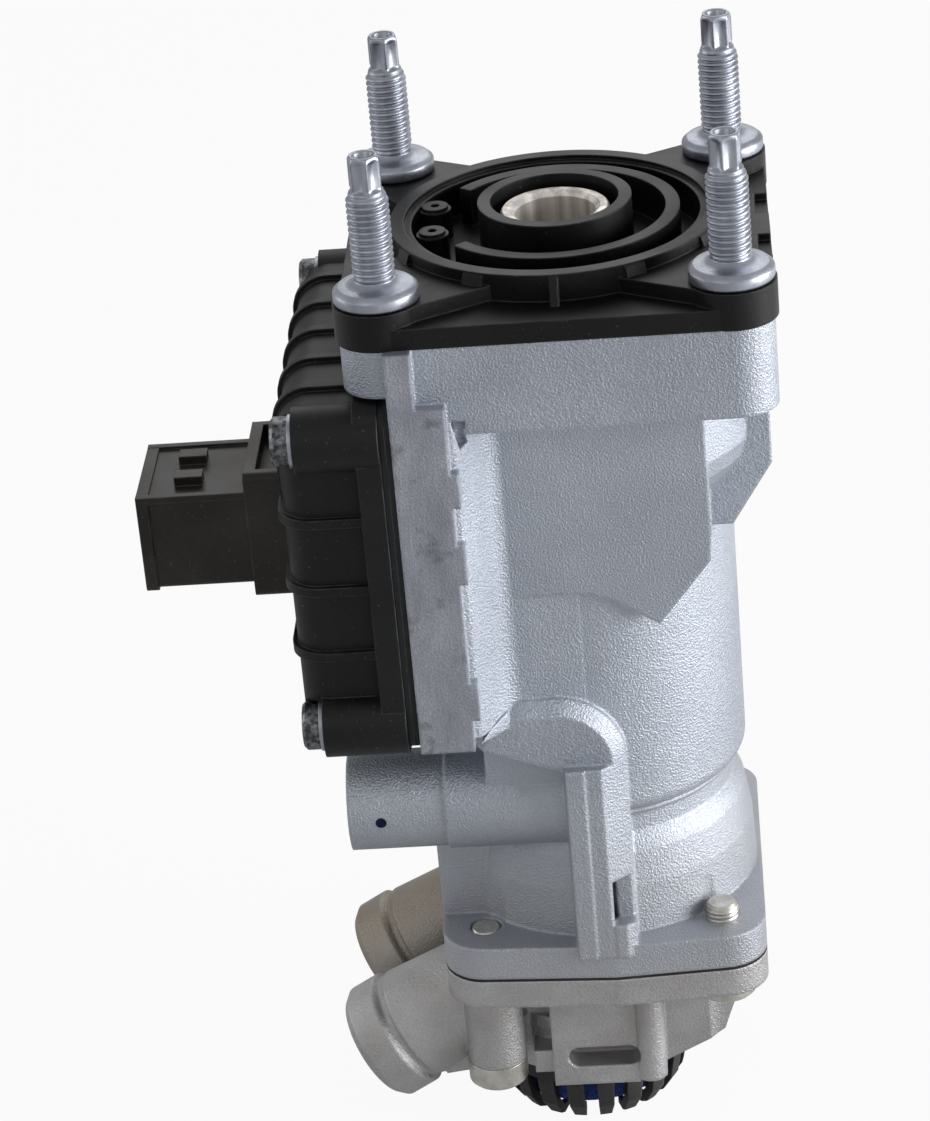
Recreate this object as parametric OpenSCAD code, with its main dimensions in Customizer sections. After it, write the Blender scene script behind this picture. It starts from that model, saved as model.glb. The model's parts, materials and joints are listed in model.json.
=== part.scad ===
// Foot brake valve with pedal travel sensor, for the two-circuit air brake of a truck.
// Millimetres. +Z runs up along the mounting studs, -Y is the front and -X the side
// of the electronics cover. The origin is the centre of the stud square, on the
// upper face of the stud collars, where the pedal plate rests.

/* [Mounting studs] */
// Distance between the studs along X
stud_pitch_x = 82; // [79:0.5:86]
// Distance between the studs along Y
stud_pitch_y = 82; // [79:0.5:86]
// Thread diameter of a stud
stud_d = 10; // [8:0.5:11]
// Height of a stud above its collar
stud_h = 31.7; // [28:0.1:45]
// Diameter of the collar
collar_d = 20.2; // [18:0.1:21]
// Thickness of the collar
collar_t = 4; // [3:0.1:5]
// Length of the drive at the tip
drive_h = 8.5; // [6:0.1:10]
// Diameter over the lobes of the drive
drive_d = 8; // [6.5:0.1:8.4]
// Length of the thread in the casting
stud_grip = 10; // [8:0.5:11]
// Diameter of the thread in the casting
grip_d = 12; // [11.4:0.1:12.4]

/* [Adapter] */
// Radius of the corner pads under the collars
pad_r = 10.5; // [10.2:0.1:12]
// Height of the corner pads
pad_h = 9; // [8:0.1:12]
// Thickness of the square plate
plate_t = 5.2; // [4:0.1:6.5]
// Radius of the locating ring
ring_r = 39.9; // [39:0.1:41]
// Height of the locating ring above the casting
ring_h = 11.9; // [10:0.1:15]
// Width of the ring's rim
ring_rim = 5.2; // [4.4:0.1:6]
// Thickness of the floor of the recess
floor_t = 2.6; // [2:0.1:3.5]
// Radius of the open ring rib, at its middle
rib_r = 28.2; // [27:0.1:29.5]
// Thickness of the open ring rib
rib_t = 3.4; // [2.5:0.1:4]
// Half the angle left open in the ring rib
rib_gap = 38; // [32:1:44]
// Outer radius of the hub tube
hub_r = 18.5; // [18:0.1:20]
// Wall of the hub tube
hub_wall = 3.1; // [2:0.1:3.6]
// Height of the hub tube above the casting
hub_h = 15.3; // [13:0.1:17]
// Depth of the spigot in the casting's bore
spigot_h = 7; // [5:0.5:8.5]

/* [Guide bush and plunger] */
// Bore of the guide bush
bush_bore_d = 19.4; // [18:0.1:21]
// Wall of the guide bush
bush_wall = 3.4; // [2.8:0.1:4]
// Length of the guide bush
bush_len = 23.9; // [22:0.1:26]
// Height of the bush above the casting
bush_up = 12.9; // [11:0.1:14]
// Bore of the casting for the plunger
plunger_bore_r = 28; // [27:0.1:29]
// Thickness of the plunger's head
plunger_head_t = 6; // [5:0.1:8]
// Length of the plunger's skirt below its head
plunger_skirt = 20; // [16:0.5:22]
// Wall of the plunger's skirt
plunger_wall = 3; // [2:0.1:4]
// Travel of the plunger
plunger_travel = 14; // [10:0.5:14]

/* [Upper circuit] */
// Free height of the spring between plunger and piston
grad_spring_h = 50; // [48:0.5:56]
// Bore of the reaction piston's cylinder
react_bore_r = 26; // [25:0.1:27]
// Thickness of the reaction piston
react_t = 10; // [9:0.1:12]
// Height of the return spring under the reaction piston
react_spring_h = 10; // [9.5:0.1:12]
// Thickness of the web that holds the inlet seat
seat_web_t = 4; // [3:0.1:6]
// Radius of the hole in the inlet seat
seat_r = 11; // [10.5:0.1:11.5]
// Radius of the supply chamber
supply_r = 20; // [19.5:0.1:21]
// Depth of the supply chamber above its valve guide
supply_h = 20; // [19:0.1:23]
// Thickness of a valve guide
guide_t = 6; // [5:0.1:7]
// Radius of the tube of a valve
valve_tube_r = 7.5; // [7:0.1:8]
// Bore of a valve, for the exhaust air
valve_bore_r = 5; // [4:0.1:5.5]
// Radius of the rubber-faced head of a valve
valve_head_r = 13.5; // [13:0.1:15]
// Thickness of the head of a valve
valve_head_t = 4.2; // [3:0.1:5]

/* [Upper casting] */
// Margin of the top flange around the stud centres
flange_margin = 9.6; // [9:0.1:10.4]
// Height of the top flange
flange_h = 22.3; // [20:0.1:26]
// Height of the two stud blocks over the cover
block_h = 12; // [11:0.1:12.5]
// Radius of the cylindrical body
body_r = 38.5; // [37.5:0.1:40]
// Length of the body from the top face to the neck
body_len = 135; // [133:0.5:140]
// Radius of the neck
neck_r = 35; // [34:0.1:36]
// Length of the neck
neck_len = 8; // [6:0.1:10]
// Radius of the bell at its foot
bell_r = 39.8; // [39.2:0.1:40.2]
// Length of the bell
bell_len = 25; // [24:0.5:30]
// Thickness of the lower flange
low_flange_t = 9; // [7:0.1:11]
// How far the machined cover face stands out from the body
face_stand = 1.5; // [1.1:0.1:2.5]
// Thickness of the machined side plate
side_t = 13.2; // [12.5:0.1:15]
// Thickness of the side plate beside the top flange
side_top_t = 6.3; // [5:0.1:7.5]
// Half width of the side plate and the cover
side_half = 54; // [53.4:0.1:56]
// Length of the side plate
side_len = 105; // [104:0.5:110]
// Depth of the cast pads on the plate's edge
edge_pad = 1.9; // [1:0.1:2.5]
// Distance of the flat front pad from the middle
pad_y = 40; // [39:0.1:41]
// Distance of the rounded duct on the front from the middle
duct_y = 46.5; // [46:0.1:48]
// Outer radius of the cross-drilled tube on the left
cross_r = 12.4; // [11.5:0.1:13]
// Reach of that tube to the left
cross_reach = 61; // [58:0.5:66]

/* [Electronics cover] */
// Thickness of the cover gasket
gasket_t = 1.2; // [0.8:0.1:2]
// Thickness of the seal carrier
carrier_t = 1.5; // [1:0.1:2.5]
// Thickness of the cover's flange
cover_flange_t = 5.8; // [4.5:0.1:7]
// Depth of the cover from its joint
cover_depth = 25.3; // [24:0.1:28]
// Height of the cover
cover_h = 92.5; // [90:0.5:96]
// Wall of the cover
cover_wall = 2.6; // [2:0.1:3.2]
// Radius of the cover's rounded outer edges
cover_edge_r = 8; // [6:0.1:9]
// Height of the stiffening ribs
cover_rib_h = 1.3; // [0.8:0.1:1.6]
// Thickness of the stiffening ribs
cover_rib_t = 2.4; // [1.8:0.1:3]
// Diameter of the screw bosses
cover_boss_d = 16; // [15:0.1:18]
// Thread diameter of the cover screws
cover_screw_d = 6; // [5:0.1:6.5]
// Diameter of a cover screw's head
cover_head_d = 12; // [11:0.1:13]
// Height of a cover screw's head
cover_head_h = 4.2; // [3.5:0.1:5]

/* [Connector] */
// Half width of the connector's base
base_half = 16.5; // [15.5:0.1:18]
// Height of the connector's base
base_h = 33.5; // [31:0.1:36]
// Depth of the connector's base
base_depth = 12.5; // [11:0.1:15]
// Half width of the plug shell
shell_half = 15; // [14:0.1:15.4]
// Height of the plug shell
shell_h = 24.6; // [22:0.1:26]
// Depth of the plug shell
shell_depth = 27; // [24:0.5:32]
// Wall of the plug shell
shell_wall = 2.2; // [1.6:0.1:2.6]

/* [Lower circuit] */
// Bore of the relay piston's cylinder
relay_bore_r = 34; // [33.5:0.1:34.5]
// Thickness of the relay piston
relay_t = 10; // [9:0.1:12]
// Height of the return spring under the relay piston
relay_spring_h = 23; // [21:0.1:24]
// Thickness of the gasket between the castings
low_gasket_t = 0.8; // [0.5:0.1:1.5]
// Thickness of the lower housing's flange
housing_flange_t = 7.7; // [6:0.1:9]
// Height of the lower housing without its gasket
housing_h = 38.2; // [37.5:0.1:42]
// Distance of the lower bolts from the middle along X
low_bolt_x = 30; // [29.4:0.1:31]
// Distance of the lower bolts from the middle along Y
low_bolt_y = 32.7; // [32:0.1:34]
// Thread diameter of the lower bolts
low_bolt_d = 8; // [6:0.1:9]
// Diameter of the lower bolts' heads
low_head_d = 15.3; // [14:0.1:16]
// Margin of the lower flange around its bolts
low_margin = 10.8; // [10:0.1:12]

/* [Ports] */
// Distance between two ports of a pair
port_pitch = 41; // [38:0.5:44]
// Tilt of the ports below the horizontal
port_tilt = 31; // [28:0.5:34]
// Reach of the port mouths from the middle
port_reach = 62; // [60:0.5:70]
// Depth of the port mouths' centres below the lower flange
port_drop = 32.2; // [30:0.1:34]
// Outer radius of a port's collar
port_collar_r = 15.8; // [15:0.1:17]
// Length of a port's collar
port_collar_len = 10; // [8:0.1:12]
// Radius of a port's wall inside its thread
port_bore_r = 10.2; // [9.5:0.1:11]
// Depth of a port's thread
port_bore_len = 14; // [12:0.5:16]

/* [Silencer] */
// Radius of the cage at its top
cage_r = 26; // [25:0.1:27]
// Height of the cage
cage_h = 18.5; // [16:0.1:22]
// Wall of the cage
cage_wall = 2.4; // [1.8:0.1:3]
// Number of slots round the cage
cage_slots = 20; // [16:1:24]
// Width of a slot
cage_slot_w = 3.6; // [2.5:0.1:4]
// Offset of the silencer from the middle along X
cage_x = -7; // [-8:0.1:-6]

/* [Clearances] */
// Radial clearance of what slides
slide_gap = 0.2; // [0.1:0.01:0.3]
// Radial clearance of what is fixed
seat_gap = 0.05; // [0.02:0.01:0.1]
// Clearance in front of a stop
stop_gap = 0.3; // [0.1:0.05:0.5]

/* [Hidden] */
$fn = 48;
eps = 0.01;

black_plastic = "#1b1c1e";
cast_aluminium = "#a6abb3";
warm_aluminium = "#a19f9c";
zinc_steel = "#a9adb1";
bright_steel = "#c8c9cb";
spring_steel = "#6f7378";
seal_rubber = "#141414";
brass_alloy = "#b79a55";

// Levels along Z, from the pedal plate down
z_seat = -collar_t - pad_h;
z_plate = z_seat + plate_t;
z_ring = z_seat + ring_h;
z_hub = z_seat + hub_h;
z_bush = z_seat + bush_up;
z_plunger = z_bush - bush_len - stop_gap;
z_grad = z_plunger - plunger_head_t;
z_react = z_grad - grad_spring_h;
z_react_low = z_react - react_t;
z_web = z_react_low - react_spring_h;
z_web_low = z_web - seat_web_t;
z_flange = z_seat - flange_h;
z_block = z_seat - block_h;
z_body = z_seat - body_len;
z_neck = z_body - neck_len;
z_bell = z_neck - bell_len;
z_joint = z_bell - low_flange_t;
z_house = z_joint - low_gasket_t;
z_house_flange = z_house - housing_flange_t;
z_house_low = z_house - housing_h;
z_side_low = z_seat - side_len;
z_port = z_joint - port_drop - low_gasket_t;
z_long_head = z_house_low + 9;

// Stroke of each piece that follows the plunger, and the gap that it closes
react_travel = plunger_travel * 5 / 14;
upper_valve_travel = plunger_travel * 3.5 / 14;
relay_travel = plunger_travel * 4 / 14;
lower_valve_travel = plunger_travel * 2.8 / 14;
last_gap = 0.2;

// Air ways: cross drilling, the riser from a left port, and the way up the duct
cross_y = 29;
cross_way_r = 4.5;
z_cross = z_body + 3.7;
riser_x = -35;
riser_y = port_pitch / 2 + 0.5;
riser_r = 3;
duct_x = 1.3;
duct_way_y = 40;
duct_way_r = 3;
link_r = 2.6;
port_way_r = 5;
port_way_len = 38;
plug_r = 7;

// Seats of the two valves
lip_h = 1;
z_upper_lip = z_web_low - lip_h;
z_upper_valve = z_upper_lip - stop_gap;
z_react_stem = z_upper_valve + react_travel - upper_valve_travel + last_gap;
z_upper_guide = z_web_low - supply_h;
z_upper_guide_low = z_upper_guide - guide_t;
relay_room = 2;
z_relay_roof = z_neck - 5;
z_relay = z_relay_roof - relay_room;
z_relay_low = z_relay - relay_t;
z_low_web = z_relay_low - relay_spring_h;
z_low_web_low = z_low_web - seat_web_t;
z_low_lip = z_low_web_low - lip_h;
z_low_valve = z_low_lip - stop_gap;
z_relay_stem = z_low_valve + relay_travel - lower_valve_travel + last_gap;
z_low_guide = z_low_web_low - supply_h + 2;
z_low_guide_low = z_low_guide - guide_t;

// Snap rings
clip_t = 1.6;
clip_depth = 1.2;
clip_gap = 0.1;
clip_w = 3;

// Joint planes of the cover, along X
face_x = body_r + face_stand;
x_gasket = -face_x - gasket_t;
x_carrier = x_gasket - carrier_t;
x_cover_flange = x_carrier - cover_flange_t;
x_cover = x_carrier - cover_depth;
z_cover = z_block - 1;
z_cover_low = z_cover - cover_h;
z_cover_mid = (z_cover + z_cover_low) / 2;
cover_screw_y = side_half - 6;
cover_screw_z = [z_cover - 9.5, z_cover_low + 7];
x_boss = x_carrier - cover_depth + 5;
washer_t = 1;
window_half = 9;
z_window = z_grad - 2;
window_h = 36;

// Circuit board, on posts in the cover
x_board_left = x_carrier - 8.6;
board_t = 1.6;
board_half = 38.5;
z_board = z_cover - 10;
z_board_low = z_cover_low + 20;
post_y = 30;
coil_w = 6.8;
coil_h = 28;
coil_mid = 4.4;

// Connector
z_base = z_cover - 32.7;
z_shell = z_base - 5.7;
x_base = x_cover - base_depth;
x_shell = x_base - shell_depth;
plug_window_half = 12;

// Solids of revolution about Z, given as [radius, z] points
module revolve(points) {
  rotate_extrude($fn = 96) polygon(points);
}

// A disc or ring between two levels
module ring(r, bore, z_top, z_low) {
  translate([0, 0, z_low]) difference() {
    cylinder(r = r, h = z_top - z_low, $fn = 96);
    if (bore > 0) translate([0, 0, -eps]) cylinder(r = bore, h = z_top - z_low + 2 * eps, $fn = 96);
  }
}

// A plan drawn in XY and carried from one level to another
module slab(z_top, z_low) {
  translate([0, 0, z_low]) linear_extrude(z_top - z_low) children();
}

// An outline drawn in XZ and carried along Y
module along_y(y_from, y_to) {
  translate([0, y_to, 0]) rotate([90, 0, 0]) linear_extrude(y_to - y_from) children();
}

// An outline drawn in YZ and carried along X
module along_x(x_from, x_to) {
  translate([x_from, 0, 0]) rotate([90, 0, 90]) linear_extrude(x_to - x_from) children();
}

// A round rod along X
module x_rod(x_from, x_to, r) {
  translate([x_from, 0, 0]) rotate([0, 90, 0]) cylinder(r = r, h = x_to - x_from);
}

// A drilling from one point to another
module drill(from, to, r) {
  way = to - from;
  len = norm(way);
  translate(from) rotate([0, acos(way[2] / len), atan2(way[1], way[0])]) cylinder(r = r, h = len);
}

// A rectangle with round corners, centred
module round_square(half_x, half_y, r) {
  square([2 * half_x - 2 * r, 2 * half_y], center = true);
  square([2 * half_x, 2 * half_y - 2 * r], center = true);
  for (x = [-1, 1], y = [-1, 1]) translate([x * (half_x - r), y * (half_y - r)]) circle(r);
}

// The outline that a band round several equal circles takes, given anticlockwise
module band(centres, r) {
  last = len(centres) - 1;
  polygon(centres);
  for (i = [0:last]) {
    a = centres[i];
    b = centres[i == last ? 0 : i + 1];
    out = [b[1] - a[1], a[0] - b[0]] * r / norm(b - a);
    polygon([a, a + out, b + out, b]);
    translate(a) circle(r);
  }
}

module at_studs(sides_x = [-1, 1]) {
  for (x = sides_x, y = [-1, 1]) translate([x * stud_pitch_x / 2, y * stud_pitch_y / 2, 0]) children();
}

// Long bolts stand beside the ports, and one short bolt at the front right
long_corners = [[-1, -1], [-1, 1], [1, 1]];
short_corners = [[1, -1]];

module at_low_bolts(corners) {
  for (c = corners) translate([c[0] * low_bolt_x, c[1] * low_bolt_y, 0]) children();
}

module at_cover_screws() {
  for (y = [-1, 1], z = cover_screw_z) translate([0, y * cover_screw_y, z]) children();
}

// Height of the wire's middle after a number of turns, with one closed turn at each end
function coil_z(turn, turns, wire, rise) =
  let (closed = wire * 1.06, free = (rise - 2 * closed) / (turns - 2))
  turn < 1 ? closed * turn
  : turn > turns - 1 ? rise - closed * (turns - turn)
  : closed + free * (turn - 1);

// A coil spring of round wire between two levels
module coil(r, wire, z_top, z_low, turns, sides = 6, steps = 14) {
  count = ceil(turns * steps);
  rise = z_top - z_low - wire;
  points = [
    for (i = [0:count], k = [0:sides - 1])
      let (turn = turns * i / count, a = 360 * turn, b = 360 * k / sides,
           out = r + wire / 2 * cos(b), z = coil_z(turn, turns, wire, rise))
      [out * cos(a), out * sin(a), z_low + wire / 2 + z + wire / 2 * sin(b)]
  ];
  skin = [
    for (i = [0:count - 1], k = [0:sides - 1])
      let (n = (k + 1) % sides, a = i * sides, b = (i + 1) * sides)
      each [[a + k, b + k, b + n], [a + k, b + n, a + n]]
  ];
  polyhedron(
    points,
    concat(skin, [[for (k = [0:sides - 1]) k]], [[for (k = [sides - 1:-1:0]) count * sides + k]])
  );
}

// Mounting studs: external lobed drive, thread, collar and thread in the casting
module mounting_studs() color(zinc_steel) at_studs() {
  drive_r = drive_d / 2;
  difference() {
    union() {
      revolve([
        [0, z_seat - stud_grip], [grip_d / 2 - 1, z_seat - stud_grip],
        [grip_d / 2, z_seat - stud_grip + 1], [grip_d / 2, -collar_t],
        [collar_d / 2 - 0.6, -collar_t], [collar_d / 2, -collar_t + 0.6],
        [collar_d / 2, -1], [collar_d / 2 - 1.2, 0], [stud_d / 2, 0],
        [stud_d / 2, stud_h - drive_h - 1.2], [drive_r - 0.4, stud_h - drive_h],
        [drive_r - 0.4, stud_h - 0.5], [drive_r - 0.9, stud_h], [0, stud_h]
      ]);
      for (a = [0:60:300]) rotate(a) translate([drive_r - 0.9, 0, stud_h - drive_h - 0.2])
        cylinder(r = 0.9, h = drive_h - 0.5, $fn = 24);
    }
    for (a = [30:60:330]) rotate(a) translate([drive_r + 0.35, 0, stud_h - drive_h + 0.4])
      cylinder(r = 1.15, h = drive_h, $fn = 24);
    translate([0, 0, stud_h - 3]) cylinder(r = drive_r - 1.7, h = 3 + eps);
  }
}

// The wedge that ties a corner pad to the ring, drawn for the corner at +X +Y
module pad_wedge() {
  half = 16;
  far = norm([stud_pitch_x, stud_pitch_y]) / 2;
  rotate(atan2(stud_pitch_y, stud_pitch_x))
    polygon([[ring_r - 7, -half], [ring_r - 4.5, -half], [far, -pad_r + 0.8], [far, pad_r - 0.8],
             [ring_r - 4.5, half], [ring_r - 7, half]]);
}

// The stiffeners that lean on the outside of the ring
module ring_gusset(w, reach) {
  translate([ring_r - 1, 0, 0]) along_y(-w / 2, w / 2)
    polygon([[0, z_plate - 1], [1 + reach, z_plate - 1], [1 + reach, z_plate],
             [1.4, z_ring - 0.6], [0, z_ring - 0.6]]);
}

module mounting_adapter() color(black_plastic) {
  half_x = stud_pitch_x / 2 + pad_r - 0.5;
  half_y = stud_pitch_y / 2 + pad_r - 0.5;
  z_pad = -collar_t;
  z_floor = z_seat + floor_t;
  boss_y = [11, -5];
  boss_x = 29.5;
  notch = [5, 13, 3.2];
  difference() {
    union() {
      difference() {
        union() {
          slab(z_plate, z_seat) round_square(half_x, half_y, pad_r);
          at_studs() ring(pad_r, 0, z_pad, z_seat);
          for (x = [0, 1], y = [0, 1]) mirror([x, 0, 0]) mirror([0, y, 0])
            slab(z_pad, z_seat) pad_wedge();
          ring(ring_r, 0, z_ring, z_seat);
          for (a = [0:90:270]) rotate(a) ring_gusset(2, 3);
          for (a = [0:90:270], b = [-1, 1]) rotate(a + 45 + b * 17) ring_gusset(5, 2.5);
        }
        translate([0, 0, z_floor]) cylinder(r = ring_r - ring_rim, h = ring_h, $fn = 96);
        translate([0, 0, z_ring - 1.1]) cylinder(r = ring_r - ring_rim + 1.7, h = 2, $fn = 96);
      }
      ring(hub_r, 0, z_hub, z_seat);
      slab(z_ring + 0.1, z_floor - eps) difference() {
        circle(rib_r + rib_t / 2, $fn = 96);
        circle(rib_r - rib_t / 2, $fn = 96);
        polygon([[0, 0], [-50 * cos(rib_gap), 50 * sin(rib_gap)], [-60, 0],
                 [-50 * cos(rib_gap), -50 * sin(rib_gap)]]);
      }
      for (y = boss_y) translate([-boss_x, y, 0]) {
        ring(3.9, 0, z_ring - 2, z_floor - eps);
        ring(3.2, 0, z_ring - 1.2, z_floor - eps);
      }
      ring(plunger_bore_r - seat_gap, 0, z_seat + eps, z_seat - spigot_h);
    }
    ring(hub_r - hub_wall, 0, z_hub + 1, z_seat + 5);
    ring(bush_bore_d / 2 + bush_wall + seat_gap, 0, z_hub + 1, z_seat - spigot_h - 1);
    for (y = boss_y) translate([-boss_x, y, 0]) ring(1.1, 0, z_ring, z_floor + 1);
    at_studs() ring(grip_d / 2 + 0.3, 0, z_pad + 1, z_seat - 1);
    for (y = [-1, 1]) translate([half_x - notch[2], y * 13 - notch[1] / 2, z_plate - 1.8])
      cube([notch[0], notch[1], 10]);
  }
}

module guide_bush() color(bright_steel) {
  bore = bush_bore_d / 2;
  outer = bore + bush_wall;
  z_low = z_bush - bush_len;
  revolve([
    [bore, z_low + 0.6], [bore + 0.6, z_low], [outer, z_low], [outer, z_bush - 0.5],
    [outer - 0.5, z_bush], [bore + 1.2, z_bush], [bore, z_bush - 1.2]
  ]);
}

// Plan of the flange at the joint of the two castings
module low_flange_plan() {
  nose = [2.8, -(low_bolt_y + 2)];
  band([[-low_bolt_x, -low_bolt_y], nose, [low_bolt_x, -low_bolt_y],
        [low_bolt_x, low_bolt_y], [nose[0], -nose[1]], [-low_bolt_x, low_bolt_y]], low_margin);
}

// The rounded duct that leads from the side plate down to the lower flange
module front_duct() {
  duct_right = 8.8;
  duct_left = -27.2;
  bend = 17;
  left_bend = 15;
  left_x = -14.5;
  lap = 0.08;
  flank = 3.2;
  plateau_y = duct_y - 3.1;
  flank_y = plateau_y - 2.9;
  z_top = z_seat - 99.3;
  z_flat = z_top - 17.4;
  z_low = z_bell - 3;
  z_notch = z_low + 9.3;
  flat = [-6.2, 2.6];
  // Upright with its raised flat, its bevelled sides and the step along its middle
  difference() {
    slab(z_flat, z_low)
      polygon([[flat[0] - 0.6, -30], [flat[0] - 0.6, -plateau_y + 0.4], [flat[0], -duct_y],
               [-1.5, -duct_y], [-1.5, -duct_y + 0.5], [flat[1], -duct_y + 0.5],
               [duct_right, -duct_y + 6], [duct_right, -30]]);
    translate([flat[1] + 0.6, -duct_y - 1, z_notch]) cube([10, 6.2, 12.4]);
  }
  // Foot that runs down in front of the flange
  slab(z_notch + 0.1, z_low + 0.05)
    polygon([[flat[1] - 0.5, -30], [flat[1] - 0.5, -duct_y + 0.8], [flat[1] + 1.2, -duct_y + 0.25],
             [duct_right - 2.6, -duct_y + 0.35], [duct_right - 0.15, -duct_y + 2.2],
             [duct_right - 0.15, -30]]);
  difference() {
    union() {
      // Bevelled section that turns about two centres, with a straight run between them
      for (turn = [[duct_right - bend, bend], [left_x, left_bend]])
        translate([turn[0], 0, z_top - turn[1]]) rotate([90, 0, 0]) rotate_extrude($fn = 96)
          polygon([[0, 20], [turn[1] + lap, 20], [turn[1] + lap, flank_y],
                   [turn[1] + lap - flank, plateau_y], [0, plateau_y]]);
      along_x(left_x, duct_right - bend)
        polygon([[-20, z_top], [-flank_y, z_top], [lap / 2 - plateau_y, z_top - flank],
                 [lap / 2 - plateau_y, z_top - bend], [-20, z_top - bend]]);
      // Facet that rises to the edge of the side plate
      intersection() {
        slab(z_top + 1, z_side_low)
          polygon([[duct_left, -30], [duct_left, -side_half + 1.7], [-19, -plateau_y], [-19, -30]]);
        translate([left_x, 0, z_top - left_bend]) rotate([90, 0, 0]) cylinder(r = left_bend - 0.6, h = 60);
      }
    }
    // Open below its slanting lower edge, where the cross tube comes out
    along_y(-side_half - 1, -19)
      polygon([[duct_left - 20, z_top + 1], [duct_left, z_top + 1], [duct_left, z_top - 11.2],
               [flat[0] - 0.3, z_top - 19], [flat[0] - 0.3, z_top - 40], [duct_left - 20, z_top - 40]]);
  }
}

// The cast stiffener under the right side of the top flange
module right_gusset() {
  reach = 48.4;
  half = 20;
  z_drop = z_flange - 26.2;
  along_y(-half, half)
    polygon([[30, z_flange + 1], [reach, z_flange + 1], [reach, z_drop],
             [body_r - 0.2, z_drop - 16], [30, z_drop - 16]]);
}

// The flare of the body up to the top flange, on the side away from the cover
module body_flare() {
  drop = 33;
  intersection() {
    revolve([
      [0, z_flange + 1], [body_r + 8.3, z_flange + 1], [body_r + 8.3, z_flange - 19.4],
      [body_r + 6.8, z_flange - 24.3], [body_r + 4.4, z_flange - 27.7],
      [body_r + 2.1, z_flange - 30.5], [body_r + 0.4, z_flange - drop + 0.6],
      [body_r - 0.5, z_flange - drop], [0, z_flange - drop]
    ]);
    translate([0, -pad_y + 0.4, z_flange - drop - 1]) cube([60, 2 * pad_y - 0.8, drop + 3]);
  }
}

// The pads cast on the front edge of the side plate
module side_edge_pads() {
  for (span = [[31, 39.7], [49.7, 59.8], [86.4, 96.5]], y = [-1, 1])
    translate([-face_x + side_t - eps, y < 0 ? -side_half : side_half - 8, z_seat - span[1]])
      cube([edge_pad, 8, span[1] - span[0]]);
}

// Points of an arc in the plane
function arc(centre, r, from, to, steps = 6) =
  [for (i = [0:steps]) let (a = from + (to - from) * i / steps) centre + r * [cos(a), sin(a)]];

// The rounded shoulder from the side plate's edge down to the body, in plan
module shoulder_plan() {
  x_out = -face_x + side_t;
  x_in = -14.6;
  y_out = -side_half + 3;
  y_in = -pad_y + 0.15;
  slope = 55;
  radii = ((x_in - x_out) * sin(slope) - (y_in - y_out) * cos(slope)) / (1 - cos(slope));
  r_out = 0.3 * radii;
  r_in = 0.7 * radii;
  for (s = [0, 1]) mirror([0, s])
    polygon(concat(
      [[x_out - 6, 5], [x_out - 6, y_out]],
      arc([x_out, y_out + r_out], r_out, -90, slope - 90),
      arc([x_in, y_in - r_in], r_in, 90 + slope, 90),
      [[0, -body_r - 0.1], [0, 5]]
    ));
}

module upper_casting_outside() {
  half_x = stud_pitch_x / 2 + flange_margin;
  half_y = stud_pitch_y / 2 + flange_margin;
  round_r = 4;
  // Top flange, cut back on the left where the cover sits
  slab(z_seat, z_block) round_square(half_x, half_y, flange_margin);
  slab(z_block + eps, z_flange) intersection() {
    round_square(half_x, half_y, flange_margin);
    translate([-face_x, -100]) square(200);
  }
  // Body, neck and bell
  revolve([
    [0, z_seat - 1], [body_r, z_seat - 1], [body_r, z_body + round_r],
    for (a = [0:15:90]) [body_r - round_r * (1 - cos(a)), z_body + round_r * (1 - sin(a))],
    [neck_r + 1, z_body - 0.5], [neck_r, z_body - 2], [neck_r, z_neck + 1.5],
    [neck_r + 1, z_neck], [neck_r + 2.6, z_neck - 3.2], [bell_r - 1.6, z_neck - 6.6],
    [bell_r - 0.7, z_neck - 12], [bell_r, z_bell], [bell_r, z_bell - 1], [0, z_bell - 1]
  ]);
  slab(z_bell, z_joint) low_flange_plan();
  // Machined side plate with its cast shoulder
  translate([-face_x, -side_half, z_side_low]) cube([side_t, 2 * side_half, side_len - 14.2]);
  translate([-face_x, -side_half, z_side_low]) cube([side_top_t, 2 * side_half, side_len]);
  side_edge_pads();
  slab(z_flange + 1, z_side_low + 2) shoulder_plan();
  slab(z_side_low + 3, z_cross) translate([-26, -pad_y + 0.5]) square([24, 2 * pad_y - 1]);
  // Flat pads, front and back
  for (s = [0, 1]) mirror([0, s, 0]) along_y(-pad_y, -18)
    polygon([[-26, z_flange + 1], [32.6, z_flange + 1], [33, z_seat - 56], [32.4, z_seat - 64],
             [19.3, z_seat - 80.4], [8.6, z_seat - 73.4], [2.7, z_seat - 71.2], [-26, z_seat - 71.2]]);
  right_gusset();
  body_flare();
  for (s = [0, 1]) mirror([0, s, 0]) {
    front_duct();
    translate([0, -cross_y, z_cross]) x_rod(-cross_reach, 0, cross_r);
    translate([0, -cross_y, z_cross]) x_rod(-face_x + 3.4, 0, cross_r + 0.7);
  }
  // Web between the cross tubes and the lower flange
  translate([-41, -26, z_bell - 1]) cube([16, 52, z_body - z_bell]);
}

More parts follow.
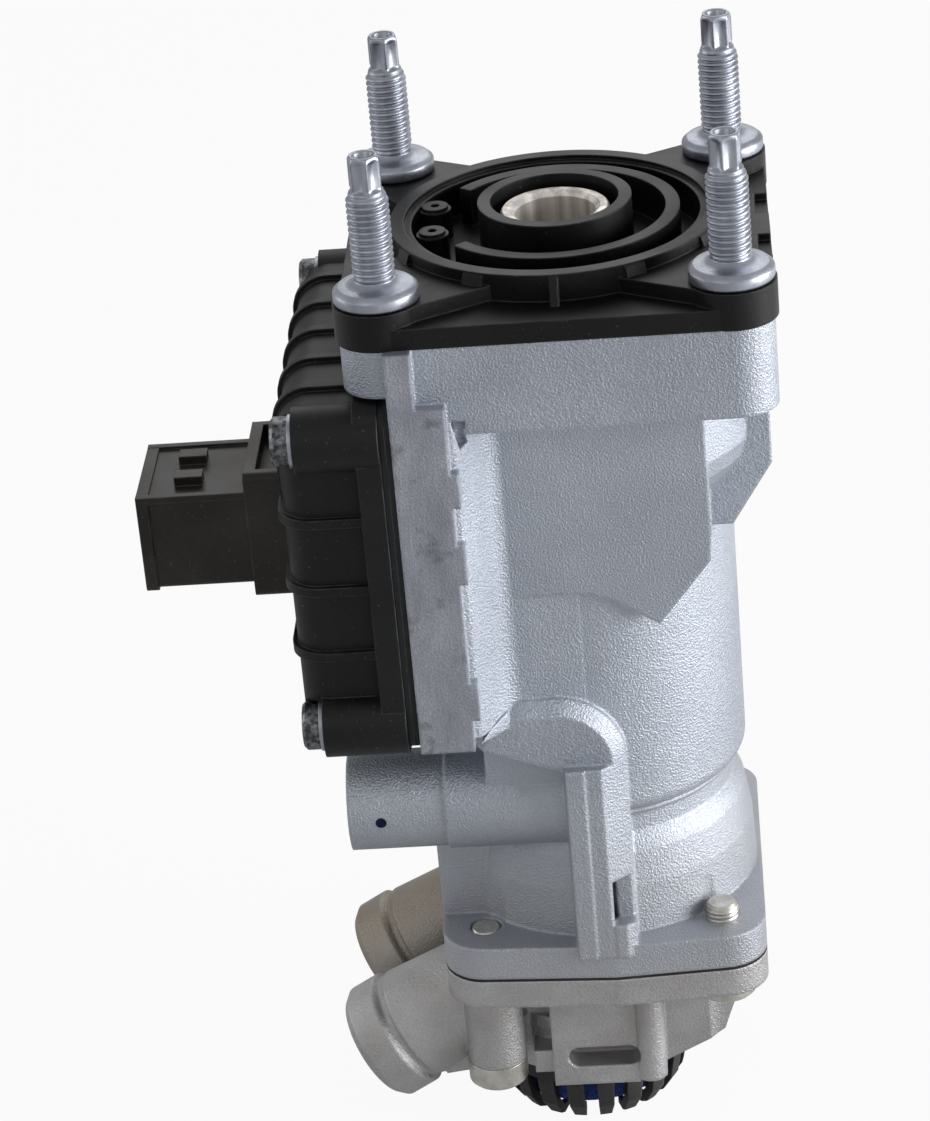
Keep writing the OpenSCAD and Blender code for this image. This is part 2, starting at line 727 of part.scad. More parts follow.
module upper_casting_inside() {
  clip_top = z_upper_guide_low - clip_gap;
  clip_low = clip_top - clip_t - clip_gap;
  revolve([
    [0, z_seat + 1], [plunger_bore_r, z_seat + 1], [plunger_bore_r, z_react + 8],
    [react_bore_r, z_react + 6], [react_bore_r, z_web], [seat_r, z_web],
    [seat_r, z_upper_lip], [seat_r + 1, z_upper_lip], [seat_r + 1.8, z_web_low],
    [supply_r, z_web_low], [supply_r, clip_top], [supply_r + clip_depth, clip_top],
    [supply_r + clip_depth, clip_low], [supply_r, clip_low], [supply_r, clip_low - 2],
    [supply_r + 6, clip_low - 4], [supply_r + 6, z_relay_roof], [relay_bore_r, z_relay_roof],
    [relay_bore_r, z_joint - 1], [0, z_joint - 1]
  ]);
  at_studs() ring(grip_d / 2 + seat_gap, 0, z_seat + 1, z_seat - stud_grip - 1);
  // Window between the sledge and the sensor coils
  translate([-face_x - 1, -window_half, z_window - window_h])
    cube([face_x - plunger_bore_r + 5, 2 * window_half, window_h]);
  at_cover_screws() x_rod(-face_x - 1, -face_x + 11.5, cover_screw_d / 2 + seat_gap);
  at_low_bolts(concat(long_corners, short_corners)) {
    ring(low_bolt_d / 2 + seat_gap, 0, z_bell + 8, z_joint - 1);
    // Room for the bolt's end beside the bell
    ring(low_bolt_d / 2 + 1.4, 0, z_bell + 9, z_bell);
  }
  // Dimple at the head of the shoulder
  for (s = [-1, 1]) drill([-24.1, s * 50.4, z_seat - 18.8], [-24.1, s * 47.6, z_seat - 26.4], 1.7);
  // Air ways of the upper circuit: riser, cross drilling, duct
  z_duct_top = z_web_low - 30;
  for (s = [-1, 1]) {
    drill([riser_x, s * riser_y, z_joint - 1], [riser_x, s * riser_y, z_neck - 3], riser_r);
    drill([riser_x, s * riser_y, z_neck - 4], [riser_x, s * (cross_y - 2), z_cross + 1], link_r);
    translate([0, s * cross_y, z_cross]) x_rod(-cross_reach - 1, -10, cross_way_r);
    translate([0, s * cross_y, z_cross]) x_rod(-cross_reach - 1, -cross_reach + 8, plug_r);
    drill([-12, s * cross_y, z_cross], [duct_x - 0.7, s * (duct_way_y - 0.6), z_cross], link_r);
    drill([duct_x, s * duct_way_y, z_joint - 1], [duct_x, s * duct_way_y, z_duct_top], duct_way_r);
  }
  // Supply enters under the inlet seat from the back
  drill([duct_x, duct_way_y, z_duct_top + 1], [duct_x, supply_r - 2, z_web_low - 10], link_r);
  // Delivery leaves the piston's chamber at the front, and works the relay piston
  drill([duct_x, -duct_way_y, z_duct_top + 1], [duct_x, -react_bore_r + 4, z_web + 3], link_r);
  drill([duct_x, -duct_way_y, z_neck + 4], [duct_x, -relay_bore_r + 4, z_relay_roof - 0.5], 1.5);
}

module upper_housing() color(cast_aluminium) difference() {
  upper_casting_outside();
  upper_casting_inside();
}

// Screw plugs that close the cross drillings
module cross_bore_plug() color(zinc_steel) for (s = [-1, 1])
  translate([0, s * cross_y, z_cross]) difference() {
    x_rod(-cross_reach + 1, -cross_reach + 8 - stop_gap, plug_r - seat_gap);
    translate([-cross_reach, 0, 0]) rotate([0, 90, 0]) cylinder(d = 6.93, h = 5, $fn = 6);
  }

// Plan of the cover's joint, in YZ
module cover_joint_plan(inset = 0) {
  translate([0, z_cover_mid]) round_square(side_half - inset, cover_h / 2 - inset, 6);
}

module joint_layer(x_from, x_to) difference() {
  along_x(x_from, x_to) difference() {
    cover_joint_plan(0.4);
    translate([0, z_window - window_h / 2]) square([2 * window_half + 3, window_h + 3], center = true);
  }
  at_cover_screws() x_rod(x_from - 1, x_to + 1, cover_screw_d / 2 + 0.3);
}

module cover_gasket() color(seal_rubber) joint_layer(x_gasket, -face_x);

module seal_carrier() color("#3a3c40") joint_layer(x_carrier, x_gasket);

// The domed part of the cover, grown for its ribs or shrunk for its inside
module cover_dome(grow) {
  half = side_half - 4.5 + grow;
  edge = cover_edge_r + grow;
  x_end = x_cover - grow;
  z_top = z_cover - 3 + grow;
  z_low = z_cover_low + 2.5 - grow;
  chamfer = 7;
  intersection() {
    slab(z_top, z_low) {
      translate([x_end + edge, -half]) square([x_carrier - x_end - edge, 2 * half]);
      translate([x_end, -half + edge]) square([edge + eps, 2 * half - 2 * edge]);
      for (y = [-1, 1]) translate([x_end + edge, y * (half - edge)]) circle(edge);
    }
    along_y(-half - 1, half + 1) {
      polygon([[x_carrier, z_top], [x_carrier, z_low], [x_end + chamfer, z_low], [x_end, z_low + chamfer],
               [x_end, z_top - edge], [x_end + edge, z_top - edge], [x_end + edge, z_top]]);
      translate([x_end + edge, z_top - edge]) circle(edge);
    }
  }
}

module cover_ribs() {
  intersection() {
    cover_dome(cover_rib_h);
    union() {
      // Bands across the front, the side and the back
      for (drop = [30.5, 48.5, 66])
        translate([-100, -100, z_cover - drop - cover_rib_t / 2]) cube([100, 200, cover_rib_t]);
      // Bands over the top and down the side
      for (y = [-34:17:34])
        translate([-100, y - cover_rib_t / 2, z_cover - 30]) cube([100, cover_rib_t, 40]);
    }
  }
}

module at_board_posts() {
  for (y = [-1, 1], z = [z_cover - 40, z_cover_low + 30]) translate([0, y * post_y, z]) children();
}

module electronics_cover() color(black_plastic) {
  seat_cut = 0.4;
  difference() {
    union() {
      along_x(x_cover_flange, x_carrier) cover_joint_plan();
      cover_dome(0);
      cover_ribs();
      at_cover_screws() x_rod(x_boss, x_carrier, cover_boss_d / 2);
    }
    // Inside of the shell, open to the casting
    difference() {
      cover_dome(-cover_wall);
      at_cover_screws() x_rod(x_cover - 5, x_carrier, cover_boss_d / 2 + 0.6);
      at_board_posts() {
        x_rod(x_cover, x_board_left, 3);
        x_rod(x_cover, x_board_left + board_t + 1, 1.4);
      }
    }
    translate([x_carrier - eps, -200, -300]) cube([100, 400, 400]);
    at_cover_screws() x_rod(x_cover - 5, x_carrier + 1, cover_screw_d / 2 + 0.3);
    // Clear the screw heads above the bosses
    at_cover_screws() x_rod(x_cover - 5, x_boss, cover_head_d / 2 + 0.6);
    // Flat seat of the connector's base between the ribs
    translate([x_cover - 5, -base_half - seat_cut, z_base - base_h - seat_cut])
      cube([5 + 2 * eps, 2 * (base_half + seat_cut), base_h + 2 * seat_cut]);
    // Way for the connector's pins
    along_x(x_cover - 5, x_cover + cover_wall + 2)
      translate([0, z_shell - shell_h / 2]) square([2 * plug_window_half, 16], center = true);
  }
}

module connector_housing() color("#211d1a") {
  lip = 1.4;
  z_mid = z_shell - shell_h / 2;
  difference() {
    union() {
      along_x(x_base, x_cover) translate([0, z_base - base_h / 2])
        round_square(base_half, base_h / 2, 2);
      along_x(x_shell, x_base + eps) translate([0, z_mid])
        round_square(shell_half, shell_h / 2, 1.6);
      // Lips round the mouth and along the upper edges
      along_x(x_shell, x_shell + 3) translate([0, z_mid])
        round_square(shell_half + 0.7, shell_h / 2 + 0.7, 2);
      for (y = [-1, 1]) translate([x_shell, y * (shell_half - 0.3) - 1, z_shell - 1])
        cube([shell_depth, 2, 1 + lip - 0.6]);
      // Keys of the mating plug's latch
      for (y = [-6, 6]) translate([x_shell + 9, y - 2.2, z_shell - eps]) cube([7, 4.4, 2.4]);
      // Spigot in the cover's window
      along_x(x_cover - eps, x_cover + cover_wall) translate([0, z_mid])
        square([2 * plug_window_half - 2 * seat_gap, 16 - 2 * seat_gap], center = true);
    }
    // Mouth for the plug
    along_x(x_shell - 1, x_base + 3) translate([0, z_mid])
      round_square(shell_half - shell_wall, shell_h / 2 - shell_wall, 1);
    // Pocket in the base, open at the top
    translate([x_base + 3, -base_half + 3.5, z_base - 4]) cube([base_depth - 6, 2 * base_half - 7, 5]);
    pin_rows(x_shell, x_cover + 20, 0.75 + seat_gap);
  }
}

// Two rows of contact pins, through the connector to the board
module pin_rows(x_from, x_to, half) {
  for (y = [-7.5:5:7.5], z = [-3.5, 3.5])
    translate([x_from, y - half, z_shell - shell_h / 2 + z - half]) cube([x_to - x_from, 2 * half, 2 * half]);
}

module connector_pins() color(brass_alloy) pin_rows(x_shell + 7, x_board_left - stop_gap, 0.75);

// Circuit board on the posts inside the cover
module sensor_board() color("#1f5a3a") {
  difference() {
    translate([x_board_left, -board_half, z_board_low])
      cube([board_t, 2 * board_half, z_board - z_board_low]);
    at_board_posts() x_rod(x_board_left - 1, x_board_left + 3, 1.4 + seat_gap);
  }
}

// Two coils that look through the window at the sledge
module sensor_coils() color("#b06a2c") for (y = [-1, 1])
  translate([x_board_left + board_t, y * coil_mid - coil_w / 2, z_window - window_h + 4])
    cube([-face_x + 1.2 - x_board_left - board_t, coil_w, coil_h]);

module sensor_sledge() color("#e8e4da") difference() {
  translate([-face_x + 3, -7, z_grad - plunger_skirt + 1])
    cube([face_x - plunger_bore_r + 3, 14, plunger_skirt - 4.5]);
  translate([0, 0, z_grad - plunger_skirt - 5])
    cylinder(r = plunger_bore_r - slide_gap + seat_gap, h = 50, $fn = 96);
}

module plunger() color(bright_steel) {
  outer = plunger_bore_r - slide_gap;
  inner = outer - plunger_wall;
  head_r = bush_bore_d / 2 + bush_wall;
  z_shoulder = z_plunger - 3;
  z_low = z_grad - plunger_skirt;
  revolve([
    [0, z_plunger - 3], [6, z_plunger - 1.5], [7.5, z_plunger], [head_r, z_plunger],
    [head_r, z_shoulder], [outer - 2, z_shoulder], [outer, z_shoulder - 2], [outer, z_low],
    [inner, z_low], [inner, z_grad], [14, z_grad], [14, z_grad - 2], [12.5, z_grad - 2],
    [12.5, z_grad], [0, z_grad]
  ]);
}

module graduating_spring() color(spring_steel) coil(18.6, 4.4, z_grad, z_react, 6);

module plunger_return_spring() color(spring_steel) coil(10, 2.6, z_grad, z_react, 9, 6, 12);

// Groove for a piston's lip seal
seal_w = 3;
seal_depth = 2.4;

module piston_seal(bore_r, z_mid) {
  revolve([
    [bore_r - seal_depth - slide_gap, z_mid - seal_w / 2 + 0.1],
    [bore_r - 0.5, z_mid - seal_w / 2 + 0.1], [bore_r - 0.1, z_mid],
    [bore_r - 0.5, z_mid + seal_w / 2 - 0.1],
    [bore_r - seal_depth - slide_gap, z_mid + seal_w / 2 - 0.1]
  ]);
}

module reaction_piston() color("#9c8f6a") {
  outer = react_bore_r - slide_gap;
  groove = react_bore_r - seal_depth - slide_gap - seat_gap;
  z_mid = (z_react + z_react_low) / 2;
  stem_r = 8;
  revolve([
    [0, z_react], [outer - 1, z_react], [outer, z_react - 1],
    [outer, z_mid + seal_w / 2], [groove, z_mid + seal_w / 2], [groove, z_mid - seal_w / 2],
    [outer, z_mid - seal_w / 2], [outer, z_react_low], [stem_r, z_react_low],
    [stem_r, z_react_stem + 1], [stem_r - 0.6, z_react_stem], [valve_bore_r + 0.8, z_react_stem],
    [valve_bore_r, z_react_stem + 1], [valve_bore_r, z_react_stem + 4], [0, z_react_stem + 5]
  ]);
}

module reaction_piston_seal() color(seal_rubber)
  piston_seal(react_bore_r, (z_react + z_react_low) / 2);

module reaction_return_spring() color(spring_steel)
  coil(19, 1.8, z_react_low, z_web, 4, 6, 12);

// A double-seat valve: rubber-faced head on a tube that slides in its guide
module seat_valve(z_top, z_low) {
  revolve([
    [valve_bore_r, z_top], [valve_head_r - 0.8, z_top], [valve_head_r, z_top - 0.8],
    [valve_head_r, z_top - valve_head_t + 1], [valve_head_r - 1, z_top - valve_head_t],
    [valve_tube_r, z_top - valve_head_t], [valve_tube_r, z_low + 0.6],
    [valve_tube_r - 0.6, z_low], [valve_bore_r, z_low]
  ]);
}

module valve_spring(z_valve, z_guide)
  coil(valve_tube_r + 2.9, 1.8, z_valve - valve_head_t, z_guide, 5, 6, 12);

// A guide that holds a valve's tube and is sealed in its chamber
module valve_guide(z_top) {
  outer = supply_r - seat_gap;
  bore = valve_tube_r + slide_gap;
  z_low = z_top - guide_t;
  z_mid = z_top - guide_t / 2;
  groove = supply_r - 2;
  revolve([
    [bore, z_top], [outer - 0.5, z_top], [outer, z_top - 0.5], [outer, z_mid + 1.2],
    [groove, z_mid + 1.2], [groove, z_mid - 1.2], [outer, z_mid - 1.2], [outer, z_low],
    [bore, z_low]
  ]);
}

module guide_seal(z_top) {
  wire = 0.9;
  translate([0, 0, z_top - guide_t / 2]) rotate_extrude($fn = 96)
    translate([supply_r - wire - seat_gap, 0]) circle(wire, $fn = 24);
}

// A snap ring with its gap and two eyes
module circlip(z_top) {
  outer = supply_r + clip_depth - clip_gap;
  slab(z_top, z_top - clip_t) difference() {
    union() {
      difference() {
        circle(outer, $fn = 96);
        circle(outer - clip_w, $fn = 96);
        translate([outer - 2, 0]) square([8, 8], center = true);
      }
      for (y = [-1, 1]) translate([outer - clip_w - 1, y * 5.4]) circle(2.2);
    }
    for (y = [-1, 1]) translate([outer - clip_w - 1, y * 5.4]) circle(1);
  }
}

module upper_valve() color("#5b5f66") seat_valve(z_upper_valve, z_upper_guide_low - 2);

module upper_valve_spring() color(spring_steel) valve_spring(z_upper_valve, z_upper_guide);

module upper_valve_guide() color(brass_alloy) valve_guide(z_upper_guide);

module upper_guide_seal() color(seal_rubber) guide_seal(z_upper_guide);

module upper_circlip() color(spring_steel) circlip(z_upper_guide_low - clip_gap - 0.05);

module relay_piston() color("#9c8f6a") {
  outer = relay_bore_r - slide_gap;
  groove = relay_bore_r - seal_depth - slide_gap - seat_gap;
  z_mid = (z_relay + z_relay_low) / 2;
  stem_r = 8;
  boss_r = 11;
  z_boss = z_relay + 12;
  revolve([
    [valve_bore_r, z_boss], [boss_r - 1, z_boss], [boss_r, z_boss - 1], [boss_r, z_relay],
    [outer - 1, z_relay], [outer, z_relay - 1], [outer, z_mid + seal_w / 2],
    [groove, z_mid + seal_w / 2], [groove, z_mid - seal_w / 2], [outer, z_mid - seal_w / 2],
    [outer, z_relay_low], [stem_r, z_relay_low], [stem_r, z_relay_stem + 0.6],
    [stem_r - 0.6, z_relay_stem], [valve_bore_r, z_relay_stem]
  ]);
}

module relay_piston_seal() color(seal_rubber)
  piston_seal(relay_bore_r, (z_relay + z_relay_low) / 2);

module relay_return_spring() color(spring_steel)
  coil(22, 3, z_relay_low, z_low_web, 5, 6, 14);

module lower_gasket() color(seal_rubber) difference() {
  slab(z_joint, z_house) difference() {
    low_flange_plan();
    circle(relay_bore_r, $fn = 96);
  }
  at_low_bolts(concat(long_corners, short_corners))
    ring(low_bolt_d / 2 + 0.3, 0, z_joint + 1, z_house - 1);
  for (y = [-1, 1]) translate([riser_x, y * riser_y, 0])
    ring(riser_r + 0.3, 0, z_joint + 1, z_house - 1);
}

// One port stub along +Z of its own frame, its mouth at z = 0
module port_stub(len) {
  c = port_collar_r;
  rotate_extrude($fn = 64) polygon([
    [0, 0], [c - 1.6, 0], [c, -2], [c, -port_collar_len + 0.6], [c - 0.6, -port_collar_len],
    [c - 1.5, -port_collar_len - 0.6], [c - 1.5, -port_collar_len - 2],
    [c - 0.8, -port_collar_len - 2.6], [c - 3, -len], [0, -len]
  ]);
}

// Placing of the ports: a pair on the left and a pair at the back
module at_ports(turn) {
  rotate(turn) for (y = [-1, 1])
    translate([-port_reach, y * port_pitch / 2, z_port]) rotate([0, -90 - port_tilt, 0]) children();
}

module at_all_ports() {
  at_ports(0) children();
  at_ports(-90) children();
}

module lower_housing_outside() {
  panel_y = 35;
  barrel_r = 27.5;
  stub_len = 40;
  slab(z_house, z_house_flange) low_flange_plan();
  ring(barrel_r, 0, z_house, z_house_low + 3);
  translate([cage_x, -3, 0]) ring(cage_r + 0.6, 0, z_house_flange - 14, z_house_low);
  at_all_ports() port_stub(stub_len);
  // Webs under the ports
  for (turn = [0, -90]) rotate(turn) for (y = [-1, 1])
    along_y(y * port_pitch / 2 - 5, y * port_pitch / 2 + 5)
      polygon([[-15, z_house_flange + 2], [-24, z_house_flange + 2], [-52, z_port + 3],
               [-44, z_port - 7], [-15, z_port - 3]]);
  // Columns of the long bolts
  at_low_bolts(long_corners) ring(7.5, 0, z_house_flange + 1, z_long_head);
  // Front panel, its lip low on the left, the round rib beside it and the right wall
  slab(z_house_flange + 1, z_house_low) translate([-15.6, -panel_y]) square([22, 20]);
  slab(z_house_low + 10, z_house_low + 3.6) translate([-20.4, -panel_y + 1.2]) square([8, 15]);
  slab(z_house_flange + 1, z_house_low) translate([5.4, -panel_y + 2.2]) square([8, 20]);
  translate([9.4, -panel_y + 2.2, 0]) ring(4.1, 0, z_house_flange + 1, z_house_low + 1.2);
  along_y(-26, 0) polygon([[12, z_house_flange + 1], [32, z_house_flange + 1], [32, z_house - 21],
                           [28.9, z_house - 30], [13, z_house_low]]);
  translate([30.2, -25.4, 0]) ring(1.8, 0, z_house_flange + 1, z_house - 20.4);
}

module lower_housing_inside() {
  clip_top = z_low_guide_low - clip_gap;
  clip_low = clip_top - clip_t - clip_gap;
  recess_r = 26;
  revolve([
    [0, z_house + 1], [recess_r, z_house + 1], [recess_r, z_low_web], [seat_r, z_low_web],
    [seat_r, z_low_lip], [seat_r + 1, z_low_lip], [seat_r + 1.8, z_low_web_low],
    [supply_r, z_low_web_low], [supply_r, clip_top], [supply_r + clip_depth, clip_top],
    [supply_r + clip_depth, clip_low], [supply_r, clip_low], [supply_r, z_house_low - 1],
    [0, z_house_low - 1]
  ]);
  at_all_ports() {
    ring(port_bore_r, 0, 1, -port_bore_len);
    ring(port_way_r, 0, 1, -port_way_len);
  }
  // Left ports feed the risers; at the back one port leaves from under the relay
  // piston and one enters the supply chamber
  way_in = port_way_len * cos(port_tilt);
  end_out = port_reach - way_in;
  end_z = z_port + port_way_len * sin(port_tilt);
  riser_low = z_port + (port_reach + riser_x) * tan(port_tilt);
  for (s = [-1, 1])
    drill([riser_x, s * riser_y, riser_low], [riser_x, s * riser_y, z_house + 1], riser_r);
  drill([-port_pitch / 2 + 1, end_out + 1, end_z + 1], [-11, 18, z_low_web + 5], 3.6);
  drill([port_pitch / 2, end_out, end_z], [10, 14, z_low_web_low - 7], 4);
  at_low_bolts(concat(long_corners, short_corners))
    ring(low_bolt_d / 2 + 0.3, 0, z_house + 1, z_house_low - 1);
  at_low_bolts(short_corners) ring(low_head_d / 2 + 0.6, 0, z_house_flange, z_house_low - 1);
  at_low_bolts(long_corners) ring(low_head_d / 2 + 0.6, 0, z_long_head, z_house_low - 1);
  // Slot in the front panel
  along_y(-36, -28) translate([-2.3, z_house_low + 8.4]) round_square(9.3, 3, 2.95);
}

module lower_housing() color(warm_aluminium) difference() {
  lower_housing_outside();
  lower_housing_inside();
}

module lower_valve() color("#5b5f66") seat_valve(z_low_valve, z_low_guide_low - 1);

module lower_valve_spring() color(spring_steel) valve_spring(z_low_valve, z_low_guide);

module lower_valve_guide() color(brass_alloy) valve_guide(z_low_guide);

module lower_guide_seal() color(seal_rubber) guide_seal(z_low_guide);

module lower_circlip() color(spring_steel) circlip(z_low_guide_low - clip_gap - 0.05);

// A bolt from below, with its lobed recess
module joint_bolt(z_head, head_h, z_end) {
  r = low_bolt_d / 2;
  difference() {
    revolve([
      [0, z_end], [r - 0.8, z_end], [r, z_end - 0.8], [r, z_head], [low_head_d / 2, z_head],
      [low_head_d / 2, z_head - head_h + 0.8], [low_head_d / 2 - 0.8, z_head - head_h],
      [0, z_head - head_h]
    ]);
    translate([0, 0, z_head - head_h - 1]) cylinder(d = 8, h = 3.2, $fn = 6);
  }
}

module long_bolts() color(zinc_steel) at_low_bolts(long_corners)
  joint_bolt(z_long_head, 6.5, z_bell);

module short_bolt() color(zinc_steel) at_low_bolts(short_corners)
  joint_bolt(z_house_flange, 4.5, z_bell + 4);

module cover_screws() color(zinc_steel) at_cover_screws() {
  x_head = x_boss - washer_t;
  difference() {
    union() {
      x_rod(x_head, -face_x + 10, cover_screw_d / 2);
      translate([x_head - cover_head_h, 0, 0]) rotate([0, 90, 0]) rotate_extrude($fn = 64)
        polygon([[0, 0], [cover_head_d / 2 - 0.8, 0], [cover_head_d / 2, 0.8],
                 [cover_head_d / 2, cover_head_h], [0, cover_head_h]]);
    }
    translate([x_head - cover_head_h - 1, 0, 0]) rotate([0, 90, 0]) cylinder(d = 6, h = 3.4, $fn = 6);
  }
}

module cover_washers() color(zinc_steel) at_cover_screws() difference() {
  x_rod(x_boss - washer_t, x_boss, cover_head_d / 2 + 0.4);
  x_rod(x_boss - washer_t - 1, x_boss + 1, cover_screw_d / 2 + 0.3);
}

// Silencer cage: a crown of claws that curve in under the filter
module silencer_cage() color(black_plastic) translate([cage_x, -3, 0]) {
  z_top = z_house_low;
  z_low = z_top - cage_h;
  drop = 5.5;
  difference() {
    rotate_extrude($fn = 96) polygon([
      [cage_r, z_top], [cage_r, z_top - 5], [cage_r - 1.5, z_low + 6],
      [cage_r - drop + 1, z_low + 1.4], [cage_r - drop - 1.5, z_low],
      [cage_r - drop - 5, z_low], [cage_r - drop - 5, z_low + 1.8],
      [cage_r - drop - 1.5, z_low + 2.4], [cage_r - 1.5 - cage_wall, z_low + 7],
      [cage_r - cage_wall, z_top - 5], [cage_r - cage_wall, z_top]
    ]);
    for (i = [0:cage_slots - 1]) rotate(i * 360 / cage_slots)
      translate([cage_r / 2, -cage_slot_w / 2, z_low - 1]) cube([cage_r, cage_slot_w, cage_h - 3]);
  }
  // Ties across the top carry the filter
  for (a = [0, 90]) rotate(a) translate([-cage_r + 1, -1.2, z_top - 1.6]) cube([2 * cage_r - 2, 2.4, 1.6]);
}

module silencer_filter() color("#1d3f86") translate([cage_x, -3, 0])
  ring(cage_r - cage_wall - 2.6, 0, z_house_low - 1.6, z_house_low - cage_h + 5.8);

mounting_studs();
mounting_adapter();
guide_bush();
upper_housing();
cross_bore_plug();
cover_gasket();
seal_carrier();
electronics_cover();
connector_housing();
connector_pins();
cover_screws();
cover_washers();
sensor_board();
sensor_coils();
sensor_sledge();
plunger();
graduating_spring();
plunger_return_spring();
reaction_piston();
reaction_piston_seal();
reaction_return_spring();
upper_valve();
upper_valve_spring();
upper_valve_guide();
upper_guide_seal();
upper_circlip();
relay_piston();
relay_piston_seal();
relay_return_spring();
lower_gasket();
lower_housing();
lower_valve();
lower_valve_spring();
lower_valve_guide();
lower_guide_seal();
lower_circlip();
long_bolts();
short_bolt();
silencer_cage();
silencer_filter();
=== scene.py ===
"""Looks of the foot brake valve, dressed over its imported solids.

Each finish is a small class that starts from the real material: die-cast aluminium, zinc
plated steel, glass-filled polyamide, nitrile rubber, felt. Threads, which are plain in the
solids, and springs, which shorten, are built here as meshes. Blender works in metres, in the
frame of the solids: +Z up along the studs, -Y the front, -X the electronics side.
"""

import json
import logging
import math
from dataclasses import dataclass
from enum import Enum
from typing import Any, Dict, List, Optional, Sequence, Tuple

import bpy
from mathutils import Matrix, Vector

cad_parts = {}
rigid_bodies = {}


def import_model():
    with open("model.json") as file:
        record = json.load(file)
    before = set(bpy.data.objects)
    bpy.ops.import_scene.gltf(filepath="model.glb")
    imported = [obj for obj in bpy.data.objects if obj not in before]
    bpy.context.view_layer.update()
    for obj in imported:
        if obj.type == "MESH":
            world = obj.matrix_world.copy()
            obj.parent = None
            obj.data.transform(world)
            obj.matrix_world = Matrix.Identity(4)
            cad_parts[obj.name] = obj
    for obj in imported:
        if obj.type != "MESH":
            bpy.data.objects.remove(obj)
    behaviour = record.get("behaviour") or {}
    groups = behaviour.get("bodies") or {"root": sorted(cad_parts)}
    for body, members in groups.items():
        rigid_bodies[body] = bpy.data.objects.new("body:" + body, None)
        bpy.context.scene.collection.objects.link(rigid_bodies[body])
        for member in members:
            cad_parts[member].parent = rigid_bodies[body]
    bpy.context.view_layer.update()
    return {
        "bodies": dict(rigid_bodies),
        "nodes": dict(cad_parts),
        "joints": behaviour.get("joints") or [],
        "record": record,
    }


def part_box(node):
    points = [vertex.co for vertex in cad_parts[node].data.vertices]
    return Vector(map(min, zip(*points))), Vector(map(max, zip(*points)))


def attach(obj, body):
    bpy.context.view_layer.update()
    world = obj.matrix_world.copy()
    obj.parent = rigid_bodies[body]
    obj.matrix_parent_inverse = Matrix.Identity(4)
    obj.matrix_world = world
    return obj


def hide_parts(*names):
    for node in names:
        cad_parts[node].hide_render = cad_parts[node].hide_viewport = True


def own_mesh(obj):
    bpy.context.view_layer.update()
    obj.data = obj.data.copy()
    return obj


log = logging.getLogger("brake_valve")

Colour = Tuple[float, float, float, float]
Point = Tuple[float, float, float]
ROOT = "valve_housing"
MM = 0.001


def linear(code: str) -> Colour:
    """Turns an sRGB hex colour into the linear values that shaders take.

    Args:
        code: six hex digits, without a hash.

    Returns:
        Linear red, green and blue, with an alpha of 1.
    """
    parts = [int(code[i : i + 2], 16) / 255 for i in (0, 2, 4)]
    r, g, b = [c / 12.92 if c <= 0.04045 else ((c + 0.055) / 1.055) ** 2.4 for c in parts]
    return (r, g, b, 1.0)


def per_metre(size_mm: float) -> float:
    """Gives the scale of a pattern whose real feature has this size in millimetres."""
    return 1000.0 / size_mm


def add_node(
    tree: bpy.types.NodeTree, kind: str, links: Optional[Dict[Any, Any]] = None, **settings: Any
) -> bpy.types.Node:
    """Adds a shader node, sets it and links its inputs.

    Args:
        tree: the material's or the world's node tree.
        kind: the node's type without its ShaderNode prefix.
        links: input names or numbers, with the socket or plain value for each.
        **settings: properties of the node itself.

    Returns:
        The new node.
    """
    node = tree.nodes.new("ShaderNode" + kind)
    for name, value in settings.items():
        setattr(node, name, value)
    for key, value in (links or {}).items():
        if isinstance(value, bpy.types.NodeSocket):
            tree.links.new(value, node.inputs[key])
        else:
            node.inputs[key].default_value = value
    return node


class Edge(Enum):
    """How round the making leaves an edge, as a radius in millimetres."""

    CAST = 1.1
    MOULDED = 0.55
    TURNED = 0.25


